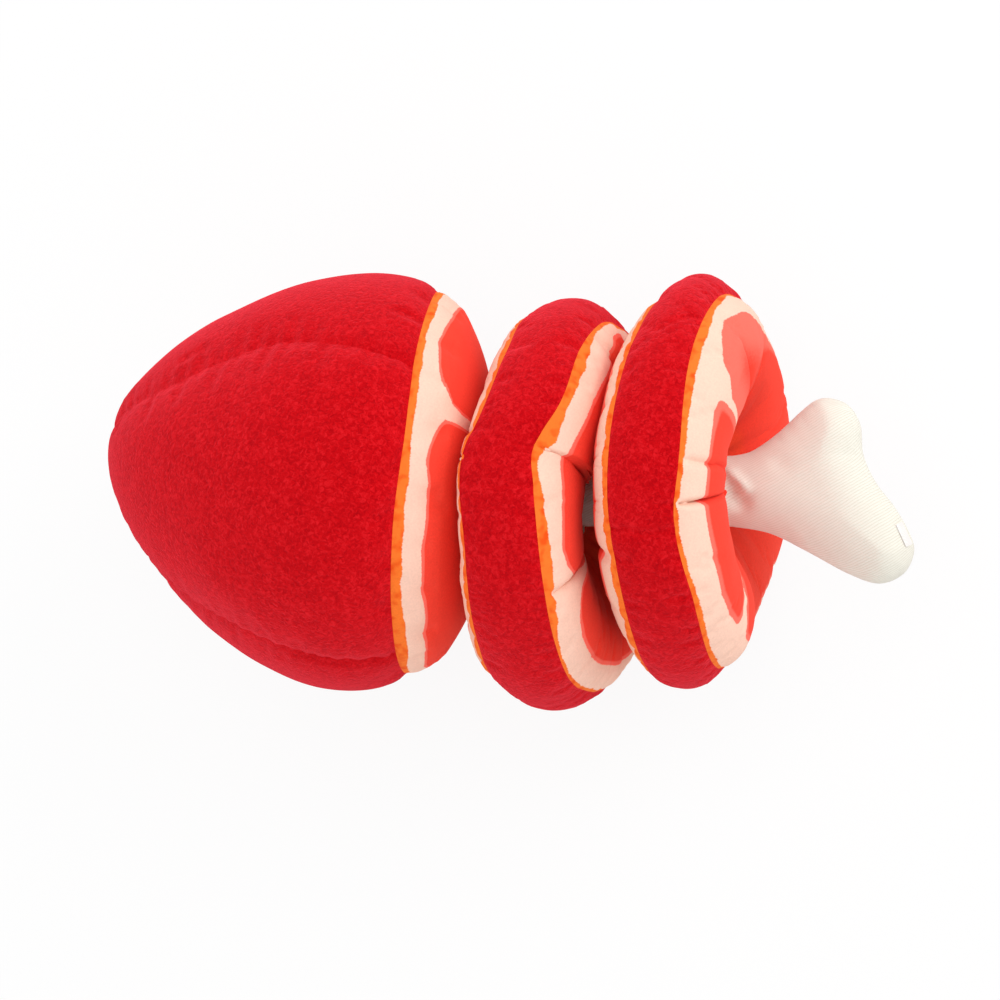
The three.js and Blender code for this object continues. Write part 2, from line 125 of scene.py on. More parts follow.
def aroundTable(angle, table):
    # the same, closed round a ring, through [angle, value] pairs
    table = np.array(sorted(table), float)
    knots = np.concatenate([table[-3:, 0] - 360, table[:, 0], table[:3, 0] + 360])
    values = np.concatenate([table[-3:, 1], table[:, 1], table[:3, 1]])
    return throughPoints((np.asarray(angle, float) + 180) % 360 - 180, knots, values)


def evenTable(value):
    # the same value all round
    return [[-120, value], [0, value], [120, value]]


def cubic(t, start, first, last, end):
    # a Bezier curve between two values, bent by two more
    return (1 - t) ** 3 * start + 3 * t * (1 - t) ** 2 * first + 3 * t ** 2 * (1 - t) * last + t ** 3 * end


def byArc(curve, count):
    # points evenly spaced along a dense curve
    steps = np.linalg.norm(np.diff(curve, axis=0), axis=1)
    length = np.concatenate([[0], np.cumsum(steps)])
    even = np.linspace(0, length[-1], count)
    return np.stack([np.interp(even, length, curve[:, k]) for k in range(curve.shape[1])], -1), even


def toPolyline(points, line, values):
    # distance to a line of points and the values given along it, there
    best = np.full(points.shape[:-1], 1e9)
    found = np.zeros(points.shape[:-1])
    for i in range(len(line) - 1):
        a, b = np.array(line[i], float), np.array(line[i + 1], float)
        span = b - a
        t = np.clip(((points - a) @ span) / (span @ span), 0, 1)
        distance = np.linalg.norm(points - a - t[..., None] * span, axis=-1)
        nearer = distance < best
        best = np.where(nearer, distance, best)
        found = np.where(nearer, values[i] + t * (values[i + 1] - values[i]), found)
    return best, found


def gridNormals(grid, closed):
    # closed: the columns run all the way round
    down = np.gradient(grid, axis=0)
    if closed:
        across = (np.roll(grid, -1, axis=1) - np.roll(grid, 1, axis=1)) / 2
    else:
        across = np.gradient(grid, axis=1)
    normal = np.cross(down, across)
    size = np.linalg.norm(normal, axis=-1, keepdims=True)
    return normal / np.maximum(size, 1e-9)


def settle(points):
    # the cloth flattens where it lies on the surface under it
    soft = 0.5
    height = points[..., 2]
    points[..., 2] = np.where(height < soft, soft * np.exp(np.minimum(height - soft, 0) / soft), height)
    return points


def addPiece(name, mesh, sharpAngle):
    # a smooth object of the mesh, with sharp edges where its faces meet at more than that angle
    mesh.polygons.foreach_set("use_smooth", [True] * len(mesh.polygons))
    mesh.set_sharp_from_angle(angle=math.radians(sharpAngle))
    mesh.update()
    piece = bpy.data.objects.new(name, mesh)
    bpy.context.scene.collection.objects.link(piece)
    return piece


def makeMesh(name, points, faces, sharpAngle=50):
    mesh = bpy.data.meshes.new(name)
    mesh.from_pydata((points * mm).tolist(), [], faces)
    return addPiece(name, mesh, sharpAngle)


# Stuffing pushes the cloth out between its stitches: a cloth simulation under pressure, ten times life size
# because cloth settings suit metres. Every point stays within the cap of where it was.
stuffing = {
    "scale": 0.01, "frames": 14, "quality": 5, "mass": 0.3, "pressure": 4.0, "stiffness": 14.0, "bend": 0.25,
    "cap": 1.5,
    "step": 3,  # rows and columns from one simulated line to the next
}


def inflate(points, faces, held, spare):
    scene = bpy.context.scene
    mesh = bpy.data.meshes.new("stuffing")
    mesh.from_pydata((points * stuffing["scale"]).tolist(), [], faces)
    piece = bpy.data.objects.new("stuffing", mesh)
    scene.collection.objects.link(piece)
    stitches = piece.vertex_groups.new(name="stitches")
    stitches.add(np.nonzero(held)[0].tolist(), 1.0, "REPLACE")
    cloth = piece.modifiers.new("cloth", "CLOTH")
    cloth.point_cache.frame_start, cloth.point_cache.frame_end = 1, stuffing["frames"]
    setting = cloth.settings
    setting.quality = stuffing["quality"]
    setting.mass = stuffing["mass"]
    setting.tension_stiffness = setting.compression_stiffness = stuffing["stiffness"]
    setting.shear_stiffness = stuffing["stiffness"] / 3
    setting.bending_stiffness = stuffing["bend"]
    setting.vertex_group_mass = "stitches"
    setting.shrink_min = -spare
    setting.use_pressure = True
    setting.uniform_pressure_force = stuffing["pressure"]
    setting.effector_weights.gravity = 0.0
    cloth.collision_settings.use_collision = False
    for step in range(1, stuffing["frames"] + 1):
        scene.frame_set(step)
    settled = piece.evaluated_get(bpy.context.evaluated_depsgraph_get()).to_mesh()
    places = np.zeros(len(points) * 3)
    settled.vertices.foreach_get("co", places)
    moved = places.reshape(-1, 3) / stuffing["scale"] - points
    bpy.data.objects.remove(piece)
    scene.frame_set(1)
    far = np.linalg.norm(moved, axis=1, keepdims=True)
    return moved * np.minimum(1, stuffing["cap"] / np.maximum(far, 1e-9))


def spread(values, picked, count, closed):
    # from every few rows back to all of them, smoothly
    at = np.arange(count)
    if closed:
        values, picked = np.concatenate([values, values[:1]]), np.append(picked, count)
    index = np.clip(np.searchsorted(picked, at, side="right") - 1, 0, len(picked) - 2)
    share = (at - picked[index]) / (picked[index + 1] - picked[index])
    share = (share * share * (3 - 2 * share)).reshape((-1,) + (1,) * (values.ndim - 1))
    return values[index] * (1 - share) + values[index + 1] * share


def stuff(grids, closed, spare, firstRow=0, heldRows=1):
    # the grids are simulated together, held at the first row, the last rows and, if open, the side columns
    points, faces, held, kept = [], [], [], []
    start = 0
    for grid in grids:
        rows, columns = grid.shape[:2]
        pickedRows = np.unique(np.append(np.arange(firstRow, rows, stuffing["step"]), rows - 1))
        pickedColumns = np.arange(0, columns, stuffing["step"])
        if not closed:
            pickedColumns = np.unique(np.append(pickedColumns, columns - 1))
        coarse = grid[np.ix_(pickedRows, pickedColumns)]
        index = start + np.arange(coarse.shape[0] * coarse.shape[1]).reshape(coarse.shape[:2])
        left = index if closed else index[:, :-1]
        right = np.roll(index, -1, axis=1) if closed else index[:, 1:]
        faces += np.stack([left[:-1], left[1:], right[1:], right[:-1]], -1).reshape(-1, 4).tolist()
        fixed = np.zeros(coarse.shape[:2], bool)
        heldLast = heldRows if len(grids) > 1 and grid is not grids[0] else 1
        fixed[0] = fixed[-heldLast:] = True
        if not closed:
            fixed[:, 0] = fixed[:, -1] = True
        points.append(coarse.reshape(-1, 3))
        held.append(fixed.ravel())
        kept.append((pickedRows, pickedColumns, start))
        start += len(points[-1])
    moved = inflate(np.concatenate(points), faces, np.concatenate(held), spare)
    for grid, (pickedRows, pickedColumns, first) in zip(grids, kept):
        size = len(pickedRows) * len(pickedColumns)
        shift = moved[first:first + size].reshape(len(pickedRows), len(pickedColumns), 3)
        shift = np.swapaxes(spread(np.swapaxes(shift, 0, 1), pickedColumns, grid.shape[1], closed), 0, 1)
        firstPicked = pickedRows[0]
        grid[firstPicked:] += spread(shift, pickedRows - firstPicked, len(grid) - firstPicked, False)


def addValues(piece, values):
    for label, numbers in values.items():
        attribute = piece.data.attributes.new(label, "FLOAT", "POINT")
        attribute.data.foreach_set("value", np.asarray(numbers, np.float32).ravel())


def clothShell(name, outer, thickness, closed=False, values=None, pole=False):
    # a closed piece of cloth from its outer face as a grid, its inner face one thickness below
    rows, columns = outer.shape[:2]
    normal = gridNormals(outer, closed)
    if pole:
        normal[0] = normal[1].mean(axis=0) / np.linalg.norm(normal[1].mean(axis=0))
    inner = outer - normal * thickness
    points = np.concatenate([outer.reshape(-1, 3), inner.reshape(-1, 3)])
    count = rows * columns
    index = np.arange(count).reshape(rows, columns)
    right = np.roll(index, -1, axis=1) if closed else index[:, 1:]
    left = index if closed else index[:, :-1]
    a, b, c, d = left[:-1], left[1:], right[1:], right[:-1]
    quads = np.stack([a, b, c, d], -1).reshape(-1, 4)
    faces = [quads, quads[:, ::-1] + count]
    for row, turned in ((0, False), (rows - 1, True)):
        if row == 0 and pole:
            continue
        p, q = left[row], right[row]
        strip = np.stack([p, q, q + count, p + count], -1).reshape(-1, 4)
        faces.append(strip[:, ::-1] if turned else strip)
    if not closed:
        for column, turned in ((0, True), (columns - 1, False)):
            p, q = index[:-1, column], index[1:, column]
            strip = np.stack([p, q, q + count, p + count], -1).reshape(-1, 4)
            faces.append(strip[:, ::-1] if turned else strip)
    piece = makeMesh(name, points, np.concatenate(faces).tolist())
    if values:
        addValues(piece, {label: np.concatenate([np.ravel(v), np.ravel(v)]) for label, v in values.items()})
    if pole:
        work = bmesh.new()
        work.from_mesh(piece.data)
        bmesh.ops.remove_doubles(work, verts=work.verts, dist=0.01 * mm)
        work.to_mesh(piece.data)
        work.free()
    return piece


# Materials

def rgb(hexText):
    parts = [int(hexText[i:i + 2], 16) / 255 for i in (1, 3, 5)]
    return tuple(p / 12.92 if p <= 0.04045 else ((p + 0.055) / 1.055) ** 2.4 for p in parts) + (1.0,)


def newMaterial(name, **surface):
    material = bpy.data.materials.new(name)
    material.use_nodes = True
    shader = material.node_tree.nodes["Principled BSDF"]
    for label, value in surface.items():
        shader.inputs[label.replace("_", " ")].default_value = value
    return material, shader


def addNode(material, kind, inputs=None, **settings):
    node = material.node_tree.nodes.new("ShaderNode" + kind)
    for label, value in settings.items():
        setattr(node, label, value)
    for label, value in (inputs or {}).items():
        if isinstance(value, bpy.types.NodeSocket):
            material.node_tree.links.new(value, node.inputs[label])
        else:
            node.inputs[label].default_value = value
    return node


def connect(material, socket, shader, label):
    material.node_tree.links.new(socket, shader.inputs[label])


# Polar fleece, knitted polyester brushed and sheared: short curly nap that lights up along the outline
# deep is painted shade down between the curls, tip is painted light on their tops, and face lies between
fleece = {"deep": "#AC0008", "face": "#C0040C", "tip": "#D4161E",
          "curl": 1.25, "clump": 5.0, "napDepth": 0.55}


def makePolarFleece():
    material, shader = newMaterial("polarFleece", Roughness=0.95, Sheen_Weight=1.0, Sheen_Roughness=0.5,
                                   Sheen_Tint=rgb("#FF4E5D"), Specular_IOR_Level=0.03)
    place = addNode(material, "TexCoord").outputs["Object"]
    curls = addNode(material, "TexNoise", {
        "Vector": place, "Scale": 1 / (fleece["curl"] * mm), "Detail": 2.5, "Roughness": 0.6, "Distortion": 0.9,
    }).outputs["Fac"]
    clumps = addNode(material, "TexNoise", {
        "Vector": place, "Scale": 1 / (fleece["clump"] * mm), "Detail": 2.0, "Roughness": 0.5,
    }).outputs["Fac"]
    nap = addNode(material, "Math", {0: clumps, 1: 0.25, 2: curls}, operation="MULTIPLY_ADD").outputs[0]
    dimmed = addNode(material, "Math", {0: nap, 1: 0.8}, operation="MULTIPLY").outputs[0]
    # the ramp colours the nap by its height: painted shade in the hollows between the curls and painted light on their
    # tops, over a tone that differs at random from clump to clump
    ramp = addNode(material, "ValToRGB", {"Fac": dimmed})
    ramp.color_ramp.elements[0].position = 0.36
    ramp.color_ramp.elements[0].color = rgb(fleece["deep"])
    ramp.color_ramp.elements[1].position = 0.66
    ramp.color_ramp.elements[1].color = rgb(fleece["tip"])
    middle = ramp.color_ramp.elements.new(0.5)
    middle.color = rgb(fleece["face"])
    connect(material, ramp.outputs["Color"], shader, "Base Color")
    bump = addNode(material, "Bump", {"Height": nap, "Strength": 0.8, "Distance": fleece["napDepth"] * mm})
    connect(material, bump.outputs["Normal"], shader, "Normal")
    return material


# Velboa, a short-pile polyester plush, heat-transfer printed: soft even colours with slightly furry edges
# border is the print's lighter coral edge round the meat; on slice 2's upper bone face it is widened into a broad patch
# of painted light
plush = {"rind": "#F5772C", "rindDark": "#EA5418", "fat": "#F3C8B4",
         "border": "#FA6D5E", "meat": "#F24434", "core": "#F24A30",
         "borderWidth": 2.0, "pile": 0.7, "edge": 0.22, "blotch": 3.5}


def makePrintedVelboa():
    material, shader = newMaterial("printedVelboa", Roughness=0.9, Sheen_Weight=0.08, Sheen_Roughness=0.4,
                                   Sheen_Tint=rgb("#FFC0B0"), Specular_IOR_Level=0.06)
    place = addNode(material, "TexCoord").outputs["Object"]
    pile = addNode(material, "TexNoise", {"Vector": place, "Scale": 1 / (plush["pile"] * mm), "Detail": 3.0,
                                          "Roughness": 0.65}).outputs["Fac"]
    ragged = addNode(material, "MapRange", {
        "Value": pile, "From Min": 0.3, "From Max": 0.7, "To Min": -plush["edge"], "To Max": plush["edge"],
    }).outputs["Result"]

    def edgeOf(label, at, soft=0.15):
        # from 0 to 1 where the distance stored under that label passes a value, along a furry edge
        distance = addNode(material, "Attribute", attribute_name=label).outputs["Fac"]
        moved = addNode(material, "Math", {0: distance, 1: ragged}, operation="ADD").outputs[0]
        return addNode(material, "MapRange", {"Value": moved, "From Min": at - soft, "From Max": at + soft},
                       interpolation_type="SMOOTHSTEP").outputs["Result"]

    # Mix has a set of sockets for each kind of value, so the colour ones are found by their place
    def overColour(share, below, above):
        node = addNode(material, "Mix", data_type="RGBA")
        for index, value in ((0, share), (6, below), (7, above)):
            if isinstance(value, bpy.types.NodeSocket):
                material.node_tree.links.new(value, node.inputs[index])
            else:
                node.inputs[index].default_value = value
        return node.outputs[2]

    blotches = addNode(material, "TexNoise", {
        "Vector": place, "Scale": 1 / (plush["blotch"] * mm), "Detail": 1.0,
    }).outputs["Fac"]
    blotch = addNode(material, "MapRange", {
        "Value": blotches, "From Min": 0.5, "From Max": 0.72,
    }).outputs["Result"]
    rind = overColour(blotch, rgb(plush["rind"]), rgb(plush["rindDark"]))
    # the coral border round the meat: the print's own thin edge, and painted light where a layout widens it
    meat = overColour(edgeOf("meat", plush["borderWidth"], 0.6), rgb(plush["border"]), rgb(plush["meat"]))
    meat = overColour(edgeOf("core", 0.0, 2.5), meat, rgb(plush["core"]))
    inside = overColour(edgeOf("meat", 0.0), rgb(plush["fat"]), meat)
    colour = overColour(edgeOf("rind", 0.0), rind, inside)
    shade = addNode(material, "MapRange", {
        "Value": pile, "From Min": 0.3, "From Max": 0.7, "To Min": 0.93, "To Max": 1.05,
    }).outputs["Result"]
    tinted = addNode(material, "VectorMath", {0: colour, "Scale": shade}, operation="SCALE").outputs["Vector"]
    connect(material, tinted, shader, "Base Color")
    bump = addNode(material, "Bump", {"Height": pile, "Strength": 0.25, "Distance": 0.25 * mm})
    connect(material, bump.outputs["Normal"], shader, "Normal")
    return material


# Bull-denim cotton twill, woven: steep diagonal ribs, matte, a little darker between them
twill = {"rib": "#E4E1D6", "groove": "#D7D1C2", "spacing": 0.9, "angle": 31.0, "ribDepth": 0.09,
         "waver": 9.0, "yarn": 0.6}


def makeCottonTwill():
    material, shader = newMaterial("cottonTwill", Roughness=0.85, Sheen_Weight=0.12, Sheen_Roughness=0.4,
                                   Specular_IOR_Level=0.25)
    place = addNode(material, "TexCoord").outputs["Object"]
    waver = addNode(material, "TexNoise", {
        "Vector": place, "Scale": 1 / (twill["waver"] * mm), "Detail": 2.0,
    }).outputs["Fac"]
    across = addNode(material, "Attribute", attribute_name="weave").outputs["Fac"]
    moved = addNode(material, "Math", {0: waver, 1: 0.8, 2: across}, operation="MULTIPLY_ADD").outputs[0]
    perRib = 2 * math.pi / twill["spacing"]
    phase = addNode(material, "Math", {0: moved, 1: perRib}, operation="MULTIPLY").outputs[0]
    wave = addNode(material, "Math", {0: phase}, operation="SINE").outputs[0]
    rib = addNode(material, "MapRange", {"Value": wave, "From Min": -1.0, "From Max": 0.4}).outputs["Result"]
    yarn = addNode(material, "TexNoise", {
        "Vector": place, "Scale": 1 / (twill["yarn"] * mm), "Detail": 3.0,
    }).outputs["Fac"]
    mixed = addNode(material, "Math", {0: yarn, 1: 0.45, 2: rib}, operation="MULTIPLY_ADD").outputs[0]
    ramp = addNode(material, "ValToRGB", {"Fac": mixed})
    ramp.color_ramp.elements[0].position = 0.15
    ramp.color_ramp.elements[0].color = rgb(twill["groove"])
    ramp.color_ramp.elements[1].position = 0.95
    ramp.color_ramp.elements[1].color = rgb(twill["rib"])
    connect(material, ramp.outputs["Color"], shader, "Base Color")
    bump = addNode(material, "Bump", {"Height": mixed, "Strength": 0.5, "Distance": twill["ribDepth"] * mm})
    connect(material, bump.outputs["Normal"], shader, "Normal")
    return material


def makePlainCloth(name, light, dark, thread, depth):
    # two sets of threads at right angles
    material, shader = newMaterial(name, Roughness=0.9, Sheen_Weight=0.1, Specular_IOR_Level=0.2)
    place = addNode(material, "TexCoord").outputs["Object"]
    split = addNode(material, "SeparateXYZ", {"Vector": place})
    perThread = math.pi / (thread * mm)
    waves = []
    for axis in ("X", "Z"):
        phase = addNode(material, "Math", {0: split.outputs[axis], 1: perThread}, operation="MULTIPLY")
        waves.append(addNode(material, "Math", {0: phase.outputs[0]}, operation="SINE").outputs[0])
    weave = addNode(material, "Math", {0: waves[0], 1: waves[1]}, operation="MULTIPLY").outputs[0]
    share = addNode(material, "MapRange", {
        "Value": weave, "From Min": -1.0, "From Max": 1.0,
    }).outputs["Result"]
    ramp = addNode(material, "ValToRGB", {"Fac": share})
    ramp.color_ramp.elements[0].color = rgb(dark)
    ramp.color_ramp.elements[1].color = rgb(light)
    connect(material, ramp.outputs["Color"], shader, "Base Color")
    bump = addNode(material, "Bump", {"Height": share, "Strength": 0.4, "Distance": depth * mm})
    connect(material, bump.outputs["Normal"], shader, "Normal")
    return material


# Hollow polyester staple fibre, blown in: white matted strands with soft shadows between the clumps
def makeFibreFill():
    material, shader = newMaterial("polyesterFibre", Roughness=1.0, Sheen_Weight=0.4, Sheen_Roughness=0.6,
                                   Specular_IOR_Level=0.1)
    place = addNode(material, "TexCoord").outputs["Object"]
    stretched = addNode(material, "Mapping", {"Vector": place, "Scale": (1.0, 0.35, 0.6)}).outputs["Vector"]
    strands = addNode(material, "TexNoise", {
        "Vector": stretched, "Scale": 1 / (0.9 * mm), "Detail": 4.0, "Roughness": 0.7, "Distortion": 2.0,
    }).outputs["Fac"]
    ramp = addNode(material, "ValToRGB", {"Fac": strands})
    ramp.color_ramp.elements[0].position = 0.3
    ramp.color_ramp.elements[0].color = rgb("#D9DADB")
    ramp.color_ramp.elements[1].position = 0.62
    ramp.color_ramp.elements[1].color = rgb("#FAFAF8")
    connect(material, ramp.outputs["Color"], shader, "Base Color")
    bump = addNode(material, "Bump", {"Height": strands, "Strength": 0.7, "Distance": 0.8 * mm})
    connect(material, bump.outputs["Normal"], shader, "Normal")
    return material


# Low-density polyethylene, blow moulded: milky and waxy, and a little light comes through. The reed and its
# holder are harder white styrene.
def makeMouldedPlastic(name, colour, roughness, grain, **more):
    material, shader = newMaterial(name, IOR=1.51, **more)
    place = addNode(material, "TexCoord").outputs["Object"]
    flow = addNode(material, "TexNoise", {
        "Vector": place, "Scale": 1 / (grain * mm), "Detail": 3.0,
    }).outputs["Fac"]
    wear = addNode(material, "MapRange", {
        "Value": flow, "From Min": 0.35, "From Max": 0.7, "To Min": roughness - 0.07, "To Max": roughness + 0.09,
    }).outputs["Result"]
    connect(material, wear, shader, "Roughness")
    ramp = addNode(material, "ValToRGB", {"Fac": flow})
    ramp.color_ramp.elements[0].color = rgb(colour[0])
    ramp.color_ramp.elements[1].color = rgb(colour[1])
    connect(material, ramp.outputs["Color"], shader, "Base Color")
    bump = addNode(material, "Bump", {"Height": flow, "Strength": 0.12, "Distance": 0.1 * mm})
    connect(material, bump.outputs["Normal"], shader, "Normal")
    return material


polarFleece = makePolarFleece()
printedVelboa = makePrintedVelboa()
cottonTwill = makeCottonTwill()
# Polyester lining, plain weave: thin, flat and cream. Its threads are about twice as coarse as real ones.
polyesterLining = makePlainCloth("polyesterLining", "#F0E2D5", "#D8C4B3", 0.5, 0.15)
# Satin ribbon, woven polyester: white and a little glossy across its threads
satinRibbon = makePlainCloth("satinRibbon", "#EAE6E2", "#DAD6D4", 0.3, 0.05)
satinRibbon.node_tree.nodes["Principled BSDF"].inputs["Roughness"].default_value = 0.45
polyesterFibre = makeFibreFill()
squeakerPolyethylene = makeMouldedPlastic("squeakerPolyethylene", ("#DDE4E9", "#EEF2F4"), 0.42, 6.0,
                                          Subsurface_Weight=0.25, Subsurface_Scale=0.004)
reedStyrene = makeMouldedPlastic("reedStyrene", ("#F2F2EF", "#FBFBF9"), 0.32, 4.0)
print("materials made")


def dress(piece, material, nodes, body=None):
    piece.data.materials.clear()
    piece.data.materials.append(material)
    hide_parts(*nodes)
    if body:
        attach(piece, body)
    return piece


# The ham

ham = {
    "spareCloth": 0.012,  # share of extra cloth that the stuffing can push out
    "length": 103.5, "radius": 68.8, "widestAt": 83.8, "seamRadius": 64.5, "faceBulge": 25.0,
    "tipShift": 10.3, "faceLean": 5.0, "faceYaw": 4.9, "axisHeight": 67.75,
    "tipBlunt": 1.7, "tipFull": 0.55, "faceFull": 0.5,
    "faceRise": 26.0, "lowerBulge": 0.12,  # the cut face's height, and how much fuller it is on the -Y side
    "tipReach": 2.2, "tipReachEnds": 32,   # the tip stands out a little past the solid one
    "fleeceThickness": 2.0, "plushThickness": 1.6, "boneHole": 12.4,
    # the stuffing is fuller on the +Y side near the cut face, and thinner near the tip
    "sideSwell": 1.6, "tipSlim": 1.9,
    "goreNames": ["left", "under", "right", "top"],
    "goreColumns": [62, 64, 66, 74], "rows": 116, "faceRows": 58,
    # the long seams, as [distance from the tip, angle]
    "seams": [
        [[0, 46], [20, 38], [40, 41], [60, 44], [80, 41], [103.5, 36]],
        [[0, 128], [30, 127], [60, 124], [90, 125], [103.5, 127]],
        [[0, 214], [30, 212], [60, 210], [90, 211], [103.5, 213]],
        [[0, 286], [20, 293], [45, 303], [70, 305], [103.5, 299]],
    ],
    "seamDepth": 1.0, "seamWidth": 2.4, "gorePuff": 0.7, "pucker": 0.45, "puckerSpacing": 6.0,
    "puckerReach": 6.5, "puckerWander": 3.2, "endDepth": 1.1, "endWidth": 1.9,
    # the gathers at the cut face's seam: their height, how many go round, and how far they reach
    "gather": 0.5, "goreGathers": [58, 110], "goreGatherReach": 6.0,
    "faceGathers": [46, 85], "faceGatherReach": 8.0,
    # the lumps of the stuffing: their height and size
    "lump": 0.8, "lumpSize": 30, "smallLump": 0.3, "smallLumpSize": 11,
    "faceLump": 0.9, "faceLumpSize": 24, "bonePleat": 1.2, "bonePleats": 18, "boneSink": 2.0,
    # how far the seam round the cut face wanders towards the bone, as [angle, distance], and from where on
    # the gores follow it
    "wanderFrom": 62,
    "seamWander": [
        [-180, 0.5], [-110, 2.0], [-85, 2.5], [-65, 1.8], [-50, 1.1], [-30, 0.3], [-5, 0.2], [5, 0.8],
        [14, 1.3], [27, 1.4], [40, 1.3], [54, 1.8], [70, 2.4], [90, 2.4], [120, 1.2],
    ],
    # how flat the face starts at its seam, as [angle, power]: 1 is a dome
    "faceSlope": [[-180, 1.0], [-90, 1.16], [-40, 1.05], [0, 1.0], [40, 1.15], [90, 1.38], [140, 1.1]],
    # short creases in the fleece: points as [distance from the tip, angle], depth and width
    "creases": [
        {"line": [[84, 0], [92, 2], [102, 4]], "depth": 1.0, "width": 1.7},
        {"line": [[91, 55], [96, 54.5], [102, 54]], "depth": 1.0, "width": 1.6},
        {"line": [[42, -49], [50, -46.5], [60, -46]], "depth": 0.7, "width": 2.2},
        {"line": [[22, 52], [30, 50], [36, 52]], "depth": 0.8, "width": 1.8},
    ],
}


def onHam(x, outward, side, up):
    # the ham's sections tilt from upright at the tip to the lean of the cut face
    share = np.clip(x, 0, ham["length"]) / ham["length"]
    lean = math.radians(ham["faceLean"]) * share
    yaw = -math.radians(ham["faceYaw"]) * share
    along = outward * np.cos(lean) + up * np.sin(lean)
    rise = -outward * np.sin(lean) + up * np.cos(lean)
    shift = ham["faceBulge"] * math.sin(math.radians(ham["faceYaw"])) + ham["tipShift"] * (1 - share) ** 2
    return np.stack([along * np.cos(yaw) - side * np.sin(yaw) + x + tipAt[0],
                     along * np.sin(yaw) + side * np.cos(yaw) + shift + tipAt[1],
                     rise + ham["axisHeight"]], -1)


def hamRadiusAt(x):
    share = np.clip(x / ham["widestAt"], 0, 1)
    swelling = ham["radius"] * (1 - (1 - share) ** ham["tipBlunt"]) ** ham["tipFull"]
    taper = np.clip((x - ham["widestAt"]) / (ham["length"] - ham["widestAt"]), 0, 1)
    tapering = ham["radius"] - (ham["radius"] - ham["seamRadius"]) * taper ** 2
    return np.where(x < ham["widestAt"], swelling, tapering)


def hamAngles(x):
    # the angle of every column at each row, and each column's share across its gore
    seams = []
    for table in ham["seams"]:
        table = np.array(table, float)
        seams.append(throughPoints(x, table[:, 0], table[:, 1]))
    seams.append(seams[0] + 360)
    angles, shares = [], []
    for gore, columns in enumerate(ham["goreColumns"]):
        share = np.linspace(0, 1, columns + 1)
        angles.append(seams[gore][:, None] * (1 - share) + seams[gore + 1][:, None] * share)
        shares.append(share)
    return angles, shares


def sideSwell(x, angle):
    fuller = ham["sideSwell"] * smoothStep(45, 95, x)
    thinner = ham["tipSlim"] * smoothStep(1, 12, x) * (1 - smoothStep(38, 66, x))
    return (fuller - thinner) * np.clip(np.sin(np.radians(angle)), 0, 1) ** 2


def makeGores():
    x = np.linspace(0, 1, 1600) ** 2.2 * ham["length"]
    profile, arc = byArc(np.stack([x, hamRadiusAt(x)], -1), ham["rows"])
    x, radius = profile[:, 0], profile[:, 1]
    toEnd = (arc[-1] - arc)[:, None]
    grids = []
    angles, shares = hamAngles(x)
    for gore, (angle, share) in enumerate(zip(angles, shares)):
        turn = np.radians(angle)
        wide = radius[:, None] + sideSwell(x[:, None], angle)
        along = (x - ham["tipReach"] * (1 - smoothStep(0, ham["tipReachEnds"], x)))[:, None]
        along = along + aroundTable(angle, ham["seamWander"]) * smoothStep(ham["wanderFrom"], ham["length"], x)[:, None]
        grid = onHam(along + 0 * turn, 0, wide * np.sin(turn), wide * np.cos(turn))
        normal = gridNormals(grid, False)
        normal[0] = (-1, 0, 0)
        goreWidth = np.radians(angle[:, -1:] - angle[:, :1]) * radius[:, None]
        fromLeft, fromRight = share * goreWidth, (1 - share) * goreWidth
        height = -ham["gorePuff"] * (1 - 4 * share * (1 - share)) * (radius[:, None] / ham["radius"])
        for side, distance in ((0, fromLeft), (1, fromRight)):
            seam = (gore + side) % 4
            height = (height - ham["seamDepth"] * fade(distance, ham["seamWidth"])
                      * smoothStep(0, 18, arc)[:, None])
            strength = 0.55 + 0.45 * lineNoise(arc, 14, 31 + seam)[:, None]
            wander = (arc[:, None] / ham["puckerSpacing"] * 2 * math.pi
                      + ham["puckerWander"] * lineNoise(arc, 17, 41 + seam)[:, None])
            slant = (0.09 if side else -0.07) * distance
            reach = np.exp(-distance / ham["puckerReach"]) * smoothStep(10, 30, arc)[:, None]
            height = height + ham["pucker"] * strength * reach * np.sin(wander + slant + side * 0.8)
        few, many = ham["goreGathers"]
        gather = ringNoise(angle, few, 5) + 0.6 * ringNoise(angle, many, 6)
        height = height + ham["gather"] * gather * np.exp(-toEnd / ham["goreGatherReach"])
        height = height - ham["endDepth"] * fade(toEnd, ham["endWidth"])
        lumps = (ham["lump"] * latticeNoise(grid, ham["lumpSize"], 7)
                 + ham["smallLump"] * latticeNoise(grid, ham["smallLumpSize"], 8))
        height = height + lumps * smoothStep(0, 25, arc)[:, None]
        flat = np.stack([x[:, None] + 0 * turn, turn * radius[:, None]], -1)
        for crease in ham["creases"]:
            for around in (0, 360):
                line = [[px, math.radians(pa + around) * float(hamRadiusAt(np.array(px)))]
                        for px, pa in crease["line"]]
                ends = [0.0] + [1.0] * (len(line) - 2) + [0.8]
                distance, strong = toPolyline(flat, line, ends)
                height = height - crease["depth"] * strong * fade(distance, crease["width"])
                beside = fade(distance - 2.2 * crease["width"], 1.5 * crease["width"])
                height = height + 0.35 * crease["depth"] * strong * beside
        grids.append(grid + normal * height[..., None])
    # neighbouring gores meet in one line
    for gore in range(4):
        after = grids[(gore + 1) % 4]
        seamLine = (grids[gore][:, -1] + after[:, 0]) / 2
        grids[gore][:, -1] = seamLine
        after[:, 0] = seamLine
    tip = np.mean([grid[0].mean(axis=0) for grid in grids], axis=0)
    for grid in grids:
        grid[0] = tip
    return grids


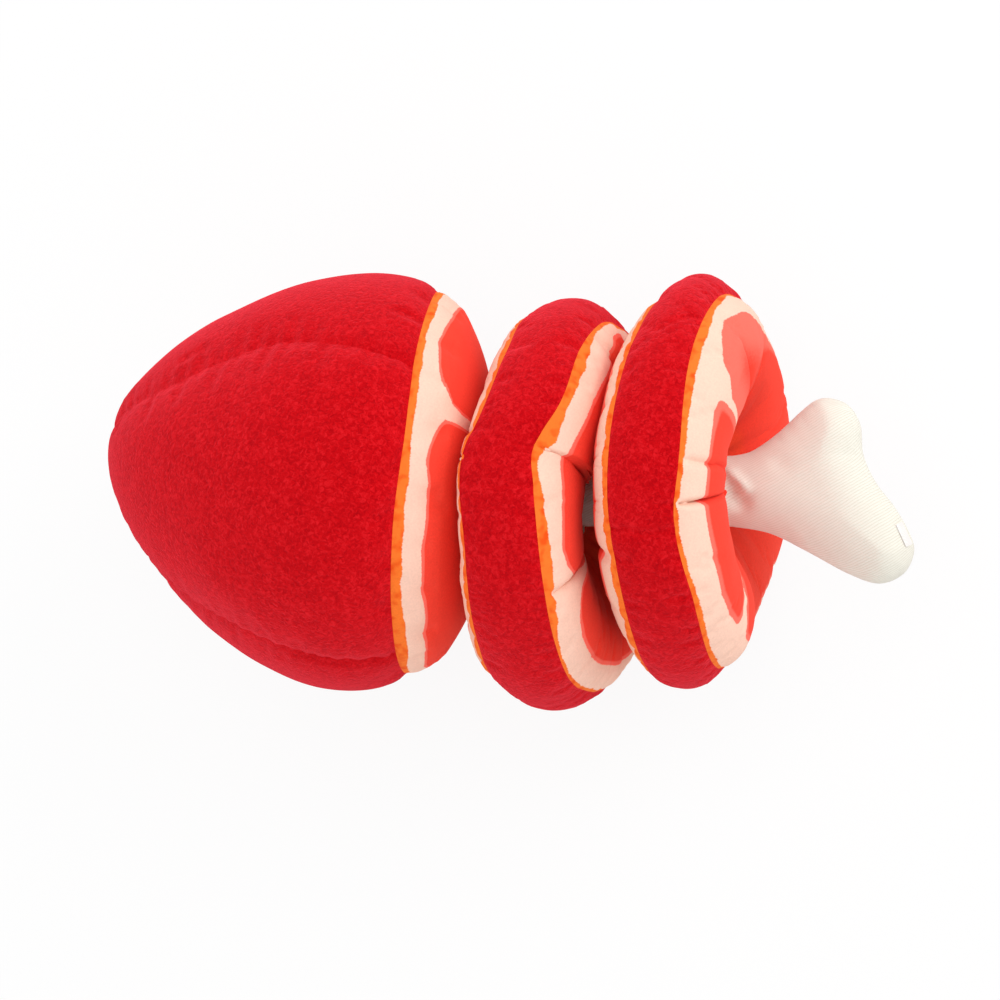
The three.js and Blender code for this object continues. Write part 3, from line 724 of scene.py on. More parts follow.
# The print of a cut: fat all round, and veins of fat between the muscles. Points of a vein are [angle,
# distance from the seam], and widths are half widths at those points.
hamPrint = {
    "seed": 11, "coreRadius": 20, "border": evenTable(1.0),
    "rind": [[-180, 3], [-65, 3], [-50, 4], [-30, 3], [0, 3], [15, 2.5], [45, 3], [70, 4], [120, 3]],
    "fat": [[-180, 10], [-80, 8], [-45, 10.5], [-20, 9], [0, 10], [8, 8], [22, 12], [42, 8], [72, 11],
            [120, 11]],
    "veins": [
        {"line": [[28, 7], [25, 15], [25, 22], [28, 40]], "widths": [7, 3.2, 2, 1.2]},
        {"line": [[128, 4], [120, 16], [100, 27]], "widths": [8, 3.6, 0.4]},
        {"line": [[205, 4], [213, 15], [232, 26]], "widths": [8.5, 3.8, 0.4]},
    ],
}


def printValues(layout, angle, fromSeam, length, boreRadius):
    # distances that the printed plush reads: from the seam, into the muscle, and into the core round the bone
    turn = np.radians(angle)
    radius = boreRadius + length - fromSeam
    flat = np.stack([radius * np.cos(turn), radius * np.sin(turn)], -1)
    meat = fromSeam - aroundTable(angle, layout["fat"]) - 0.35 * ringNoise(angle, 40, layout["seed"])
    ragged = 0.4 * ringNoise(angle, 70, layout["seed"] + 2) + 0.4 * ringNoise(angle, 160, layout["seed"] + 3)
    for vein in layout["veins"]:
        line = []
        for a, s in vein["line"]:
            r = boreRadius + length - s
            line.append([r * math.cos(math.radians(a)), r * math.sin(math.radians(a))])
        distance, width = toPolyline(flat, line, vein["widths"])
        meat = smoothMin(meat, distance - width, 3.0)
    # the border tables set how wide the coral edge is: the print's own edge, and on slice 2's upper bone face a wide
    # patch of painted light
    border = np.maximum(aroundTable(angle, layout["border"]), 0.8)
    deep = 0.6 + (meat - 0.6) * (plush["borderWidth"] - 0.6) / (border - 0.6)
    meat = np.where(meat > 0.6, deep, meat)
    core = layout["coreRadius"] * (1 + 0.12 * ringNoise(angle, 9, layout["seed"] + 1)) - radius
    return {"rind": fromSeam - aroundTable(angle, layout["rind"]) + ragged, "meat": meat, "core": core}


def smoothMin(a, b, blend):
    share = np.clip(0.5 + 0.5 * (b - a) / blend, 0, 1)
    return b * (1 - share) + a * share - blend * share * (1 - share)


def makeCutFace(grids):
    lastTurn = math.acos(ham["boneHole"] / ham["seamRadius"])
    turn = np.linspace(0, lastTurn, 800)
    radius = ham["seamRadius"] * np.cos(turn)
    rise = ham["faceRise"] * np.sin(turn) ** (2 * ham["faceFull"])
    profile, arc = byArc(np.stack([radius, rise], -1), ham["faceRows"])
    radius, rise = profile[:, :1], profile[:, 1:]
    atSeam = hamAngles(np.array([ham["length"]]))[0]
    angle = np.concatenate([a[0, :-1] for a in atSeam])[None, :]
    around = np.radians(angle)
    swell = sideSwell(ham["length"], angle) * (radius / ham["seamRadius"]) ** 2
    rise = ham["faceRise"] * (rise / ham["faceRise"]) ** aroundTable(angle, ham["faceSlope"])
    lowSide = np.clip(-np.sin(around), 0, 1)
    rise = rise * (1 + ham["lowerBulge"] * lowSide * np.clip(1 - rise / ham["faceRise"], 0, 1))
    along = ham["length"] + aroundTable(angle, ham["seamWander"]) * np.clip(1 - rise / ham["faceRise"], 0, 1)
    wide = radius + swell
    grid = onHam(along + 0 * around, rise, wide * np.sin(around), wide * np.cos(around))
    normal = gridNormals(grid, True)
    e = arc[:, None]
    few, many = ham["faceGathers"]
    gather = ringNoise(angle, few, 15) + 0.7 * ringNoise(angle, many, 16)
    height = ham["gather"] * 1.5 * gather * np.exp(-e / ham["faceGatherReach"]) * smoothStep(0, 2.5, e)
    height = height - ham["endDepth"] * fade(e, ham["endWidth"]) + 0.6 * fade(e - 9, 6)
    height = height + ham["faceLump"] * latticeNoise(grid, ham["faceLumpSize"], 17) * smoothStep(2, 14, e)
    toBone = arc[-1] - e
    pleats = ham["bonePleat"] * ringNoise(angle, ham["bonePleats"], 18)
    height = height + pleats * np.exp(-toBone / 7) - ham["boneSink"] * fade(toBone, 3)
    grid = grid + normal * height[..., None]
    # the fleece and the plush meet in one line, drawn in by the stitches
    rim = np.concatenate([g[-1, :-1] for g in grids])
    seamLine = (rim + grid[0]) / 2
    grid[0] = seamLine
    start = 0
    for gore, columns in enumerate(ham["goreColumns"]):
        grids[gore][-1, :-1] = seamLine[start:start + columns]
        start += columns
    for gore in range(4):
        grids[gore][-1, -1] = grids[(gore + 1) % 4][-1, 0]
    return settle(grid), printValues(hamPrint, angle + 0 * e, e + 0 * angle, arc[-1], ham["boneHole"])


goreGrids = makeGores()
faceGrid, faceValues = makeCutFace(goreGrids)
stuff(goreGrids, False, ham["spareCloth"], firstRow=2)
stuff([faceGrid], True, ham["spareCloth"])
for goreName, grid in zip(ham["goreNames"], goreGrids):
    gore = clothShell("fleece_gore_" + goreName, settle(grid), ham["fleeceThickness"], pole=True)
    dress(gore, polarFleece, ["ham_gore_" + goreName])
    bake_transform(gore)
cutFace = clothShell("printed_cut_face", faceGrid, ham["plushThickness"], closed=True, values=faceValues)
dress(cutFace, printedVelboa, ["ham_cut_face"])
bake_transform(cutFace)
print("ham made")


# The slices

# Tables round the slice are [angle, value]: how far each seam of the rim lies from the slice's middle
# plane, how far it lies from the axis, and how far the face stands out at its fullest. A fold is where the
# stitching pulls the face in along one radius.
slices = {
    "slice_1": {
        "seed": 100, "closingSeam": 4.4, "closingDepth": 0.45,
        "boneSeam": [
            [-180, 12.5], [-80, 13], [-40, 13], [-10, 11], [5, 8.5], [14, 7], [19, 9], [25, 12], [50, 13.5],
            [100, 12.5],
        ],
        "boneSeamRadius": [
            [-180, 65], [-110, 64], [-90, 63.2], [-80, 63], [-70, 64], [-60, 65], [55, 65], [75, 62.6],
            [90, 60.8], [110, 61.5], [135, 64],
        ],
        "hamSeam": [
            [-180, 12.5], [-110, 13], [-75, 16.5], [-45, 14], [-15, 13.5], [15, 15.5], [22, 13], [42, 11],
            [82, 15], [120, 12.5],
        ],
        "hamSeamRadius": [
            [-180, 65], [-110, 65], [-90, 63.4], [-75, 62.6], [-60, 65], [60, 65], [75, 63.6], [90, 62.6],
            [120, 65],
        ],
        "crownRadius": [[-180, 68], [-120, 68.3], [-90, 69.2], [-70, 68.8], [-50, 68], [0, 68], [90, 68]],
        "boneLip": [
            [-180, 17.3], [-120, 17.3], [-70, 17.5], [-40, 17.4], [-28, 16.6], [-18, 16.0], [-8, 15.9],
            [6, 15.8], [20, 15.8], [33, 17.4], [45, 18.8], [62, 18.2], [75, 17.4], [95, 16.6], [120, 16.8],
        ],
        "boneStep": {"angle": 15.2, "rise": 3.2, "width": 0.35, "fadesOver": 22,
                     "shoulder": 3.8, "shoulderWidth": 1.8},
        "hamLip": [
            [-180, 17.3], [-120, 17.4], [-95, 18.4], [-75, 20.6], [-60, 21], [-45, 19.2], [-30, 18],
            [0, 17.4], [45, 17.4], [60, 18.2], [75, 19.6], [90, 19], [120, 17.4],
        ],
        "boneFolds": [
            {"angle": 14.9, "depth": 2.0, "width": 0.5},
            {"angle": -26, "depth": 2.2, "width": 1.8},
            {"angle": 62, "depth": 1.2, "width": 3.5},
        ],
        "hamFolds": [
            {"angle": 19.0, "depth": 3.0, "width": 1.2},
            {"angle": 11.0, "depth": 1.8, "width": 1.2},
        ],
    },
    "slice_2": {
        "seed": 200, "closingSeam": -13.6, "closingDepth": 0.8,
        "boneSeam": [
            [-180, 12], [-150, 10], [-110, 7], [-70, 9.5], [-35, 11], [-8, 8], [2, 9.5], [35, 10.5],
            [65, 12.5], [120, 12.5],
        ],
        "boneSeamRadius": [
            [-180, 65], [-155, 63], [-135, 60.2], [-110, 59.2], [-90, 61], [-80, 63.4], [-66, 65], [58, 65],
            [68, 64], [78, 62.4], [90, 60.8], [110, 61.2], [135, 64.2],
        ],
        "hamSeam": [
            [-180, 12.5], [-90, 13], [-30, 12], [-5, 13.5], [35, 11], [60, 9], [95, 11.5], [120, 12.5],
        ],
        "hamSeamRadius": [[-180, 65], [50, 65], [60, 64], [75, 62.2], [92, 62.4], [120, 65]],
        "crownRadius": [[-180, 68], [-90, 68], [0, 68], [90, 67.8]],
        "boneLip": [
            [-180, 17.3], [-155, 15.2], [-135, 13.0], [-110, 12.4], [-92, 15.0], [-80, 18.0], [-60, 17.8],
            [-30, 18.0], [-12, 17.6], [0, 17.5], [14, 17.9], [25, 19.6], [37, 21.5], [50, 22.4], [65, 22.2],
            [78, 20.8], [90, 18.8], [105, 17], [135, 17.2],
        ],
        "hamLip": [
            [-180, 17.3], [-90, 17.4], [-60, 18.6], [-40, 20.4], [-10, 20.8], [15, 20.2], [35, 18.0],
            [60, 15.6], [80, 15.6], [110, 17.3],
        ],
        "boneFolds": [
            {"angle": -6.8, "depth": 4.2, "width": 1.0},
            {"angle": 4.8, "depth": 1.3, "width": 1.3},
            {"angle": 55, "depth": 1.2, "width": 3.5},
        ],
        "hamFolds": [{"angle": -22, "depth": 1.6, "width": 2.2}],
    },
    "shape": {
        "boreRadius": 17.5, "liningHalf": 2.8, "tuckRadius": 14.4, "tuckAt": 2.4, "firstBend": 0.15,
        "lastBend": 0.66, "columns": 640, "rimRows": 26, "faceRows": 52, "liningRows": 14,
        "seamDepth": 1.1, "seamWidth": 1.7, "gather": 0.45, "faceGathers": [52, 95], "gatherReach": 8,
        "rimGather": 0.35, "rimGathers": [50, 100], "rimGatherReach": 5,
        "lump": 0.6, "faceLumpSize": 22, "rimLumpSize": 20, "smallLump": 0.25, "smallLumpSize": 8,
        "borePleat": 1.3, "borePleats": 19, "borePleatReach": 13, "foldPull": 0.16, "foldPullReach": 7,
        "fleeceThickness": 2.0, "plushThickness": 1.6, "liningThickness": 1.0, "spareCloth": 0.014,
        "pressedTo": 0.74,  # share of its thickness that a slice keeps at the end of its slide
    },
}

# The photo hardly shows the faces that look towards the ham, so they share most of their print
hiddenPrint = {
    "coreRadius": 25, "border": evenTable(1.4),
    "rind": [[-180, 2.6], [-60, 2.9], [60, 2.6], [120, 3.0]],
    "fat": [[-180, 8], [-120, 9.5], [-60, 8.5], [0, 9], [60, 8], [120, 9.5]],
}
slicePrints = {
    "slice_1_bone": {
        "seed": 21, "coreRadius": 27, "border": evenTable(1.4),
        "rind": [[-180, 2.5], [-80, 1.5], [-40, 2], [-25, 4], [0, 3.5], [12, 2.5], [17, 5], [28, 3], [40, 4],
                 [60, 2], [120, 2.5]],
        "fat": [[-180, 9], [-105, 12], [-65, 10.5], [-40, 12], [-29, 17], [-18, 10], [0, 10], [30, 10.5],
                [60, 11], [70, 6.5], [100, 8]],
        "veins": [
            {"line": [[-29, 11], [-29, 20], [-31, 37]], "widths": [5, 2, 0.4]},
            {"line": [[95, 3], [88, 16], [74, 29]], "widths": [8, 3.4, 0.4]},
            {"line": [[200, 3], [208, 16], [226, 27]], "widths": [8, 3.2, 0.4]},
        ],
    },
    "slice_1_ham": {
        **hiddenPrint, "seed": 23,
        "veins": [
            {"line": [[40, 3], [34, 16], [20, 28]], "widths": [8, 3.4, 0.4]},
            {"line": [[160, 3], [170, 16], [186, 27]], "widths": [8, 3.2, 0.4]},
            {"line": [[-70, 3], [-60, 16], [-48, 27]], "widths": [8, 3.2, 0.4]},
        ],
    },
    "slice_2_bone": {
        "seed": 27, "coreRadius": 27,
        # the coral border widens to up to 13 mm between about 28 and 115 degrees: painted light on the part of the face
        # that turns towards the lamps
        "border": [[-180, 2.2], [-90, 2], [-10, 2], [18, 2], [28, 4], [38, 10], [50, 13], [90, 12], [115, 4],
                   [140, 2.2]],
        "rind": [[-180, 2.5], [-75, 1.5], [-45, 2], [-15, 1.5], [10, 2], [45, 3], [62, 2], [120, 2.5]],
        "fat": [[-180, 9], [-110, 10.5], [-58, 13], [-40, 10.5], [-15, 11.5], [10, 11], [37, 11], [48, 7],
                [62, 8.5], [80, 11], [130, 9]],
        "veins": [
            {"line": [[31, 5], [30, 12], [27, 18], [26, 38]], "widths": [7, 5.5, 1.6, 0.3]},
            {"line": [[-50, 40], [-60, 30], [-62, 20], [-64, 12]], "widths": [0.3, 1, 2.2, 6]},
            {"line": [[172, 3], [180, 16], [196, 29]], "widths": [8, 3.4, 0.4]},
        ],
    },
    "slice_2_ham": {
        **hiddenPrint, "seed": 29,
        "veins": [
            {"line": [[60, 3], [52, 16], [38, 28]], "widths": [8, 3.4, 0.4]},
            {"line": [[175, 3], [186, 16], [203, 27]], "widths": [8, 3.2, 0.4]},
            {"line": [[-50, 3], [-42, 16], [-30, 27]], "widths": [8, 3.2, 0.4]},
        ],
    },
}


def sliceFrame(name):
    joint = next(j for j in frame["joints"] if j["name"] == name + "_turn")
    axis = np.array(joint["axis"], float)
    axis /= np.linalg.norm(axis)
    top = np.array([0, 0, 1.0]) - axis * axis[2]
    top /= np.linalg.norm(top)
    side = np.cross(top, axis)
    if side[1] < 0:
        side = -side
    return np.array(joint["pos_m"], float) / mm, axis, top, side


def onSlice(place, angle, radius, along):
    centre, axis, top, side = place
    turn = np.radians(angle)
    radius, along = np.asarray(radius, float)[..., None], np.asarray(along, float)[..., None]
    return centre + along * axis + radius * (np.cos(turn)[..., None] * top + np.sin(turn)[..., None] * side)


def columnsRound(name):
    # angles of the columns, closer together where the cloth folds
    table, count = slices[name], slices["shape"]["columns"]
    fine = np.linspace(-180, 180, 7201)
    crowd = np.ones_like(fine)
    for fold in table["boneFolds"] + table["hamFolds"]:
        if fold["width"] < 2:
            crowd += 3.0 * fade(fine - fold["angle"], 4.5)
    total = np.concatenate([[0], np.cumsum((crowd[1:] + crowd[:-1]) / 2)])
    return np.interp(np.arange(count) / count * total[-1], total, fine)


def foldDepth(folds, angle):
    total = np.zeros_like(angle)
    for fold in folds:
        away = (angle - fold["angle"] + 180) % 360 - 180
        total = total + fold["depth"] * fade(away, fold["width"])
    return total


def makeSliceFace(name, place, sideName, sign):
    shape, table = slices["shape"], slices[name]
    angle = columnsRound(name)
    seamAt = aroundTable(angle, table[sideName + "Seam"])
    lipAt = aroundTable(angle, table[sideName + "Lip"])
    fold = foldDepth(table[sideName + "Folds"], angle)
    seamRadius = aroundTable(angle, table[sideName + "SeamRadius"])
    span = seamRadius - shape["tuckRadius"]
    reach = (8 * lipAt - seamAt - shape["tuckAt"]) / 6
    t = np.linspace(0, 1, 260)[:, None]
    radius = cubic(t, seamRadius, seamRadius - shape["firstBend"] * span,
                   seamRadius - shape["lastBend"] * span, shape["tuckRadius"]) + 0 * angle
    along = cubic(t, seamAt, reach, reach, shape["tuckAt"])
    # rows evenly spaced along the middle column's profile
    first = np.stack([radius.mean(axis=1), along.mean(axis=1)], -1)
    length = np.concatenate([[0], np.cumsum(np.linalg.norm(np.diff(first, axis=0), axis=1))])
    even = np.linspace(0, length[-1], shape["faceRows"])
    at = np.interp(even, length, t[:, 0])
    radius = np.stack([np.interp(at, t[:, 0], radius[:, k]) for k in range(len(angle))], -1)
    along = np.stack([np.interp(at, t[:, 0], along[:, k]) for k in range(len(angle))], -1)
    steps = np.hypot(np.diff(radius, axis=0), np.diff(along, axis=0))
    e = np.concatenate([np.zeros((1, len(angle))), np.cumsum(steps, axis=0)])
    toBore = e[-1] - e
    # a fold is deepest between the seam and the lip and runs out towards the bone
    along = along - fold * smoothStep(0, 7, e) * (1 - smoothStep(22, 40, e))
    step = table.get(sideName + "Step")
    if step:
        past = angle - step["angle"]
        over = smoothStep(-step["width"], step["width"], past)
        rise = step["rise"] * over * fade(np.maximum(past, 0), step["fadesOver"]) * smoothStep(2, 16, e)
        rounded = (step["shoulder"] * (1 - over) * fade(np.minimum(past, 0), step["shoulderWidth"])
                   * smoothStep(13, 26, e))
        along = along + (rise - rounded) * (1 - smoothStep(30, 46, e))
    grid = onSlice(place, angle[None, :] + 0 * e, radius, sign * along)
    normal = gridNormals(grid, True) * sign
    seed = table["seed"] + (0 if sideName == "bone" else 50)
    few, many = shape["faceGathers"]
    gather = ringNoise(angle, few, seed + 1) + 0.7 * ringNoise(angle, many, seed + 2)
    height = shape["gather"] * gather * np.exp(-e / shape["gatherReach"]) * smoothStep(0, 2.5, e)
    height = height - shape["seamDepth"] * fade(e, shape["seamWidth"]) + 0.5 * fade(e - 8, 5)
    pleats = np.sin(np.radians(angle * shape["borePleats"]) + 2.2 * ringNoise(angle, 9, seed + 3))
    pleats = pleats * 0.7 + 0.6 * ringNoise(angle, 30, seed + 4)
    runOut = np.exp(-toBore / shape["borePleatReach"])
    height = height + shape["borePleat"] * pleats * runOut * smoothStep(0, 4, toBore)
    lumps = latticeNoise(grid, shape["faceLumpSize"], seed + 5)
    height = height + shape["lump"] * lumps * smoothStep(2, 12, e) * smoothStep(0, 10, toBore)
    grid = grid + normal * height[..., None]
    layout = slicePrints[name + "_" + sideName]
    values = printValues(layout, angle[None, :] + 0 * e, e, e[-1].mean(), shape["tuckRadius"])
    return grid, values


def makeSliceRim(name, place):
    shape, table = slices["shape"], slices[name]
    angle = columnsRound(name)
    boneSeam = aroundTable(angle, table["boneSeam"])
    hamSeam = -aroundTable(angle, table["hamSeam"])
    share = np.linspace(-1, 1, shape["rimRows"])[:, None]
    along = (hamSeam + boneSeam) / 2 + share * (boneSeam - hamSeam) / 2
    toBoneSeam, toHamSeam = boneSeam - along, along - hamSeam
    # the rim is drawn in where a fold meets its seam
    pullReach = shape["foldPullReach"]
    drawnIn = shape["foldPull"] * (foldDepth(table["boneFolds"], angle) * np.exp(-toBoneSeam / pullReach)
                                   + foldDepth(table["hamFolds"], angle) * np.exp(-toHamSeam / pullReach))
    atBone, atHam = aroundTable(angle, table["boneSeamRadius"]), aroundTable(angle, table["hamSeamRadius"])
    edge = (atHam + atBone) / 2 + share * (atBone - atHam) / 2
    crown = aroundTable(angle, table["crownRadius"])
    radius = edge + (crown - (atHam + atBone) / 2) * (1 - share ** 2) - drawnIn
    grid = onSlice(place, angle[None, :] + 0 * along, radius, along)
    normal = gridNormals(grid, True)
    seed = table["seed"]
    height = (shape["lump"] * latticeNoise(grid, shape["rimLumpSize"], seed + 6)
              + shape["smallLump"] * latticeNoise(grid, shape["smallLumpSize"], seed + 7))
    few, many = shape["rimGathers"]
    for distance, number in ((toBoneSeam, 11), (toHamSeam, 12)):
        gather = ringNoise(angle, few, seed + number) + 0.6 * ringNoise(angle, many, seed + number + 4)
        height = height + shape["rimGather"] * gather * np.exp(-distance / shape["rimGatherReach"])
        height = height - shape["seamDepth"] * fade(distance, shape["seamWidth"])
    away = (angle - table["closingSeam"] + 180) % 360 - 180
    arcAway = np.radians(away) * crown + 0.5 * lineNoise(along, 9, seed + 8)
    seam = table["closingDepth"] * (1 + 0.4 * lineNoise(along, 6, seed + 9))
    height = height - seam * fade(arcAway, 1.2) + 0.3 * seam * (fade(arcAway - 4, 3) + fade(arcAway + 4, 3))
    return grid + normal * height[..., None]


def makeLining(place):
    shape = slices["shape"]
    angle = np.linspace(-180, 180, 180, endpoint=False)
    along = np.linspace(-shape["liningHalf"], shape["liningHalf"], shape["liningRows"])[:, None]
    radius = shape["boreRadius"] + 0.4 + 0.15 * ringNoise(angle, 24, 61) + 0 * along
    return onSlice(place, angle[None, :] + 0 * along, radius, along)


def pressFlat(piece, name):
    # a slice pushed against its neighbour would be pressed thinner between its two faces; here the piece only gets a
    # mesh of its own, and the slice's centre and axis are looked up but not used
    centre, axis = sliceFrame(name)[:2]
    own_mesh(piece)


sliceSkins = {}
for name in ("slice_1", "slice_2"):
    shape = slices["shape"]
    place = sliceFrame(name)
    rim = makeSliceRim(name, place)
    boneFace, boneValues = makeSliceFace(name, place, "bone", 1)
    hamFace, hamValues = makeSliceFace(name, place, "ham", -1)
    boneSeamLine, hamSeamLine = (rim[-1] + boneFace[0]) / 2, (rim[0] + hamFace[0]) / 2
    rim[-1], boneFace[0] = boneSeamLine, boneSeamLine
    rim[0], hamFace[0] = hamSeamLine, hamSeamLine
    hamFace = hamFace[:, ::-1]
    stuff([rim, boneFace, hamFace], True, shape["spareCloth"], heldRows=4)
    band = clothShell(name + "_fleece_rim", settle(rim), shape["fleeceThickness"], closed=True)
    dress(band, polarFleece, [name + "_rim_band"], name)
    printed = clothShell(name + "_printed_bone_side", settle(boneFace), shape["plushThickness"],
                         closed=True, values=boneValues)
    dress(printed, printedVelboa, [name + "_face_bone_side"], name)
    backPrint = {label: value[:, ::-1] for label, value in hamValues.items()}
    printedBack = clothShell(name + "_printed_ham_side", settle(hamFace), shape["plushThickness"],
                             closed=True, values=backPrint)
    dress(printedBack, printedVelboa, [name + "_face_ham_side"], name)
    lining = clothShell(name + "_lining", makeLining(place), shape["liningThickness"], closed=True)
    dress(lining, polyesterLining, [name + "_bore_lining"], name + "_sleeve")
    pressFlat(lining, name)
    sliceSkins[name] = [hamFace[::-1, ::-1], rim, boneFace]
    for padded in (band, printed, printedBack):
        pressFlat(padded, name)
    print(name, "made")


# The bone

bone = {
    "edgeReach": 11.5, "edgeRise": 12.0,
    "axisHeight": 65.57, "rootAt": -17.4, "shaftRadius": 12.0, "neckAt": 73.7,
    "knuckleHalf": 13.6, "knuckleRound": 17.0, "thickness": 1.2, "flangeRadius": 18.0,
    "spacing": 1.15, "rings": [0.3, 0.9, 1.7, 2.7, 3.9],
    "lump": 0.5, "lumpSize": 19, "pucker": 0.3, "puckerSpacing": 5.2, "seamDrawnIn": 0.7,
    "knuckleFrom": -2, "knuckleTo": 26,  # the knuckle swells between these distances past the neck
    # the knuckle's outline seen from above, from the neck's +Y side round to its -Y side
    "outline": [
        [73.7, 12], [80, 13.5], [88, 19], [96, 26.5], [101, 30.3], [106, 31], [112, 28.5], [116, 22],
        [117, 12], [121, 3], [127, -5], [132, -14], [133.3, -20], [130, -27], [122, -30.5], [112, -27.5],
        [98, -20], [86, -14.2], [73.7, -12],
    ],
    "seamRoll": 0.10,  # the -Y seam shows a little from above: the knuckle is turned by this much
    # creases seen from above: points, depth, width
    "creases": [
        {"line": [[70, 9], [73.5, 6.5], [77.5, 1.8], [80.5, -1.0]], "depth": -1.9, "width": 1.7},
        {"line": [[71, 3], [74, 0], [77, -3.5], [79, -8]], "depth": 2.4, "width": 3.0},
        {"line": [[116, 13], [111, 12], [106, 10]], "depth": 0.8, "width": 2.6},
        {"line": [[84, 14], [90, 9], [95, 6]], "depth": 0.7, "width": 3.0},
    ],
}


def closedOutline():
    # the whole bone from above: shaft and knuckle, evenly spaced
    top = np.array(bone["outline"], float)
    dense = []
    for i in range(len(top) - 1):
        before, a, b, after = top[max(i - 1, 0)], top[i], top[i + 1], top[min(i + 2, len(top) - 1)]
        for t in np.linspace(0, 1, 24, endpoint=False):
            dense.append(0.5 * (2 * a + (b - before) * t + (2 * before - 5 * a + 4 * b - after) * t ** 2
                                + (3 * a - before - 3 * b + after) * t ** 3))
    dense.append(top[-1])
    x0 = bone["rootAt"]
    whole = np.concatenate([[[x0, bone["shaftRadius"]]], dense, [[x0, -bone["shaftRadius"]]]])
    length = np.sum(np.linalg.norm(np.diff(whole, axis=0), axis=1))
    return byArc(whole, int(round(length / bone["spacing"])))[0]


def awayFrom(points, outline):
    distance, _ = toPolyline(points, outline, np.zeros(len(outline)))
    return distance


def insideOf(points, outline):
    inside = np.zeros(len(points), bool)
    a = outline
    b = np.roll(outline, -1, axis=0)
    for (ax, ay), (bx, by) in zip(a, b):
        crosses = (ay > points[:, 1]) != (by > points[:, 1])
        with np.errstate(divide="ignore", invalid="ignore"):
            at = (bx - ax) * (points[:, 1] - ay) / (by - ay) + ax
        inside ^= crosses & (points[:, 0] < at)
    return inside


def boneHeight(flat, outline, side):
    # height of the cover over the seam plane, from the distance to the outline; the root's end is open
    d = awayFrom(flat, outline)
    neck = bone["neckAt"]
    knuckle = smoothStep(neck + bone["knuckleFrom"], neck + bone["knuckleTo"], flat[:, 0])
    tall = bone["shaftRadius"] + (bone["knuckleHalf"] - bone["shaftRadius"]) * knuckle
    roundOver = bone["shaftRadius"] + (bone["knuckleRound"] - bone["shaftRadius"]) * knuckle
    share = np.clip(d / roundOver, 0, 1)
    height = tall * np.sqrt(1 - (1 - share) ** 2)
    onSide = np.concatenate([flat, flat[:, :1] * 0 + side * 40], -1)
    lumps = latticeNoise(onSide, bone["lumpSize"], 71)
    height = height + bone["lump"] * lumps * smoothStep(1, 8, d) * knuckle
    seamAlong = flat[:, 0] * 0.8 + flat[:, 1] * 0.6
    puckers = np.sin(2 * math.pi * seamAlong / bone["puckerSpacing"] + side)
    height = height + bone["pucker"] * np.exp(-d / 3) * smoothStep(0.4, 1.6, d) * puckers * knuckle
    if side > 0:
        for crease in bone["creases"]:
            line = crease["line"]
            ends = [0.0] + [1.0] * (len(line) - 2) + [0.0]
            distance, strong = toPolyline(flat, line, ends)
            height = height - crease["depth"] * strong * fade(distance, crease["width"]) * smoothStep(0, 5, d)
    return height


def boneRoll(x):
    return bone["seamRoll"] * smoothStep(bone["neckAt"], bone["neckAt"] + 25, x)


def bonePoints(flat, outline, side):
    height = boneHeight(flat, outline, side)
    z = bone["axisHeight"] + side * height - boneRoll(flat[:, 0]) * flat[:, 1]
    return np.concatenate([flat, z[:, None]], -1)


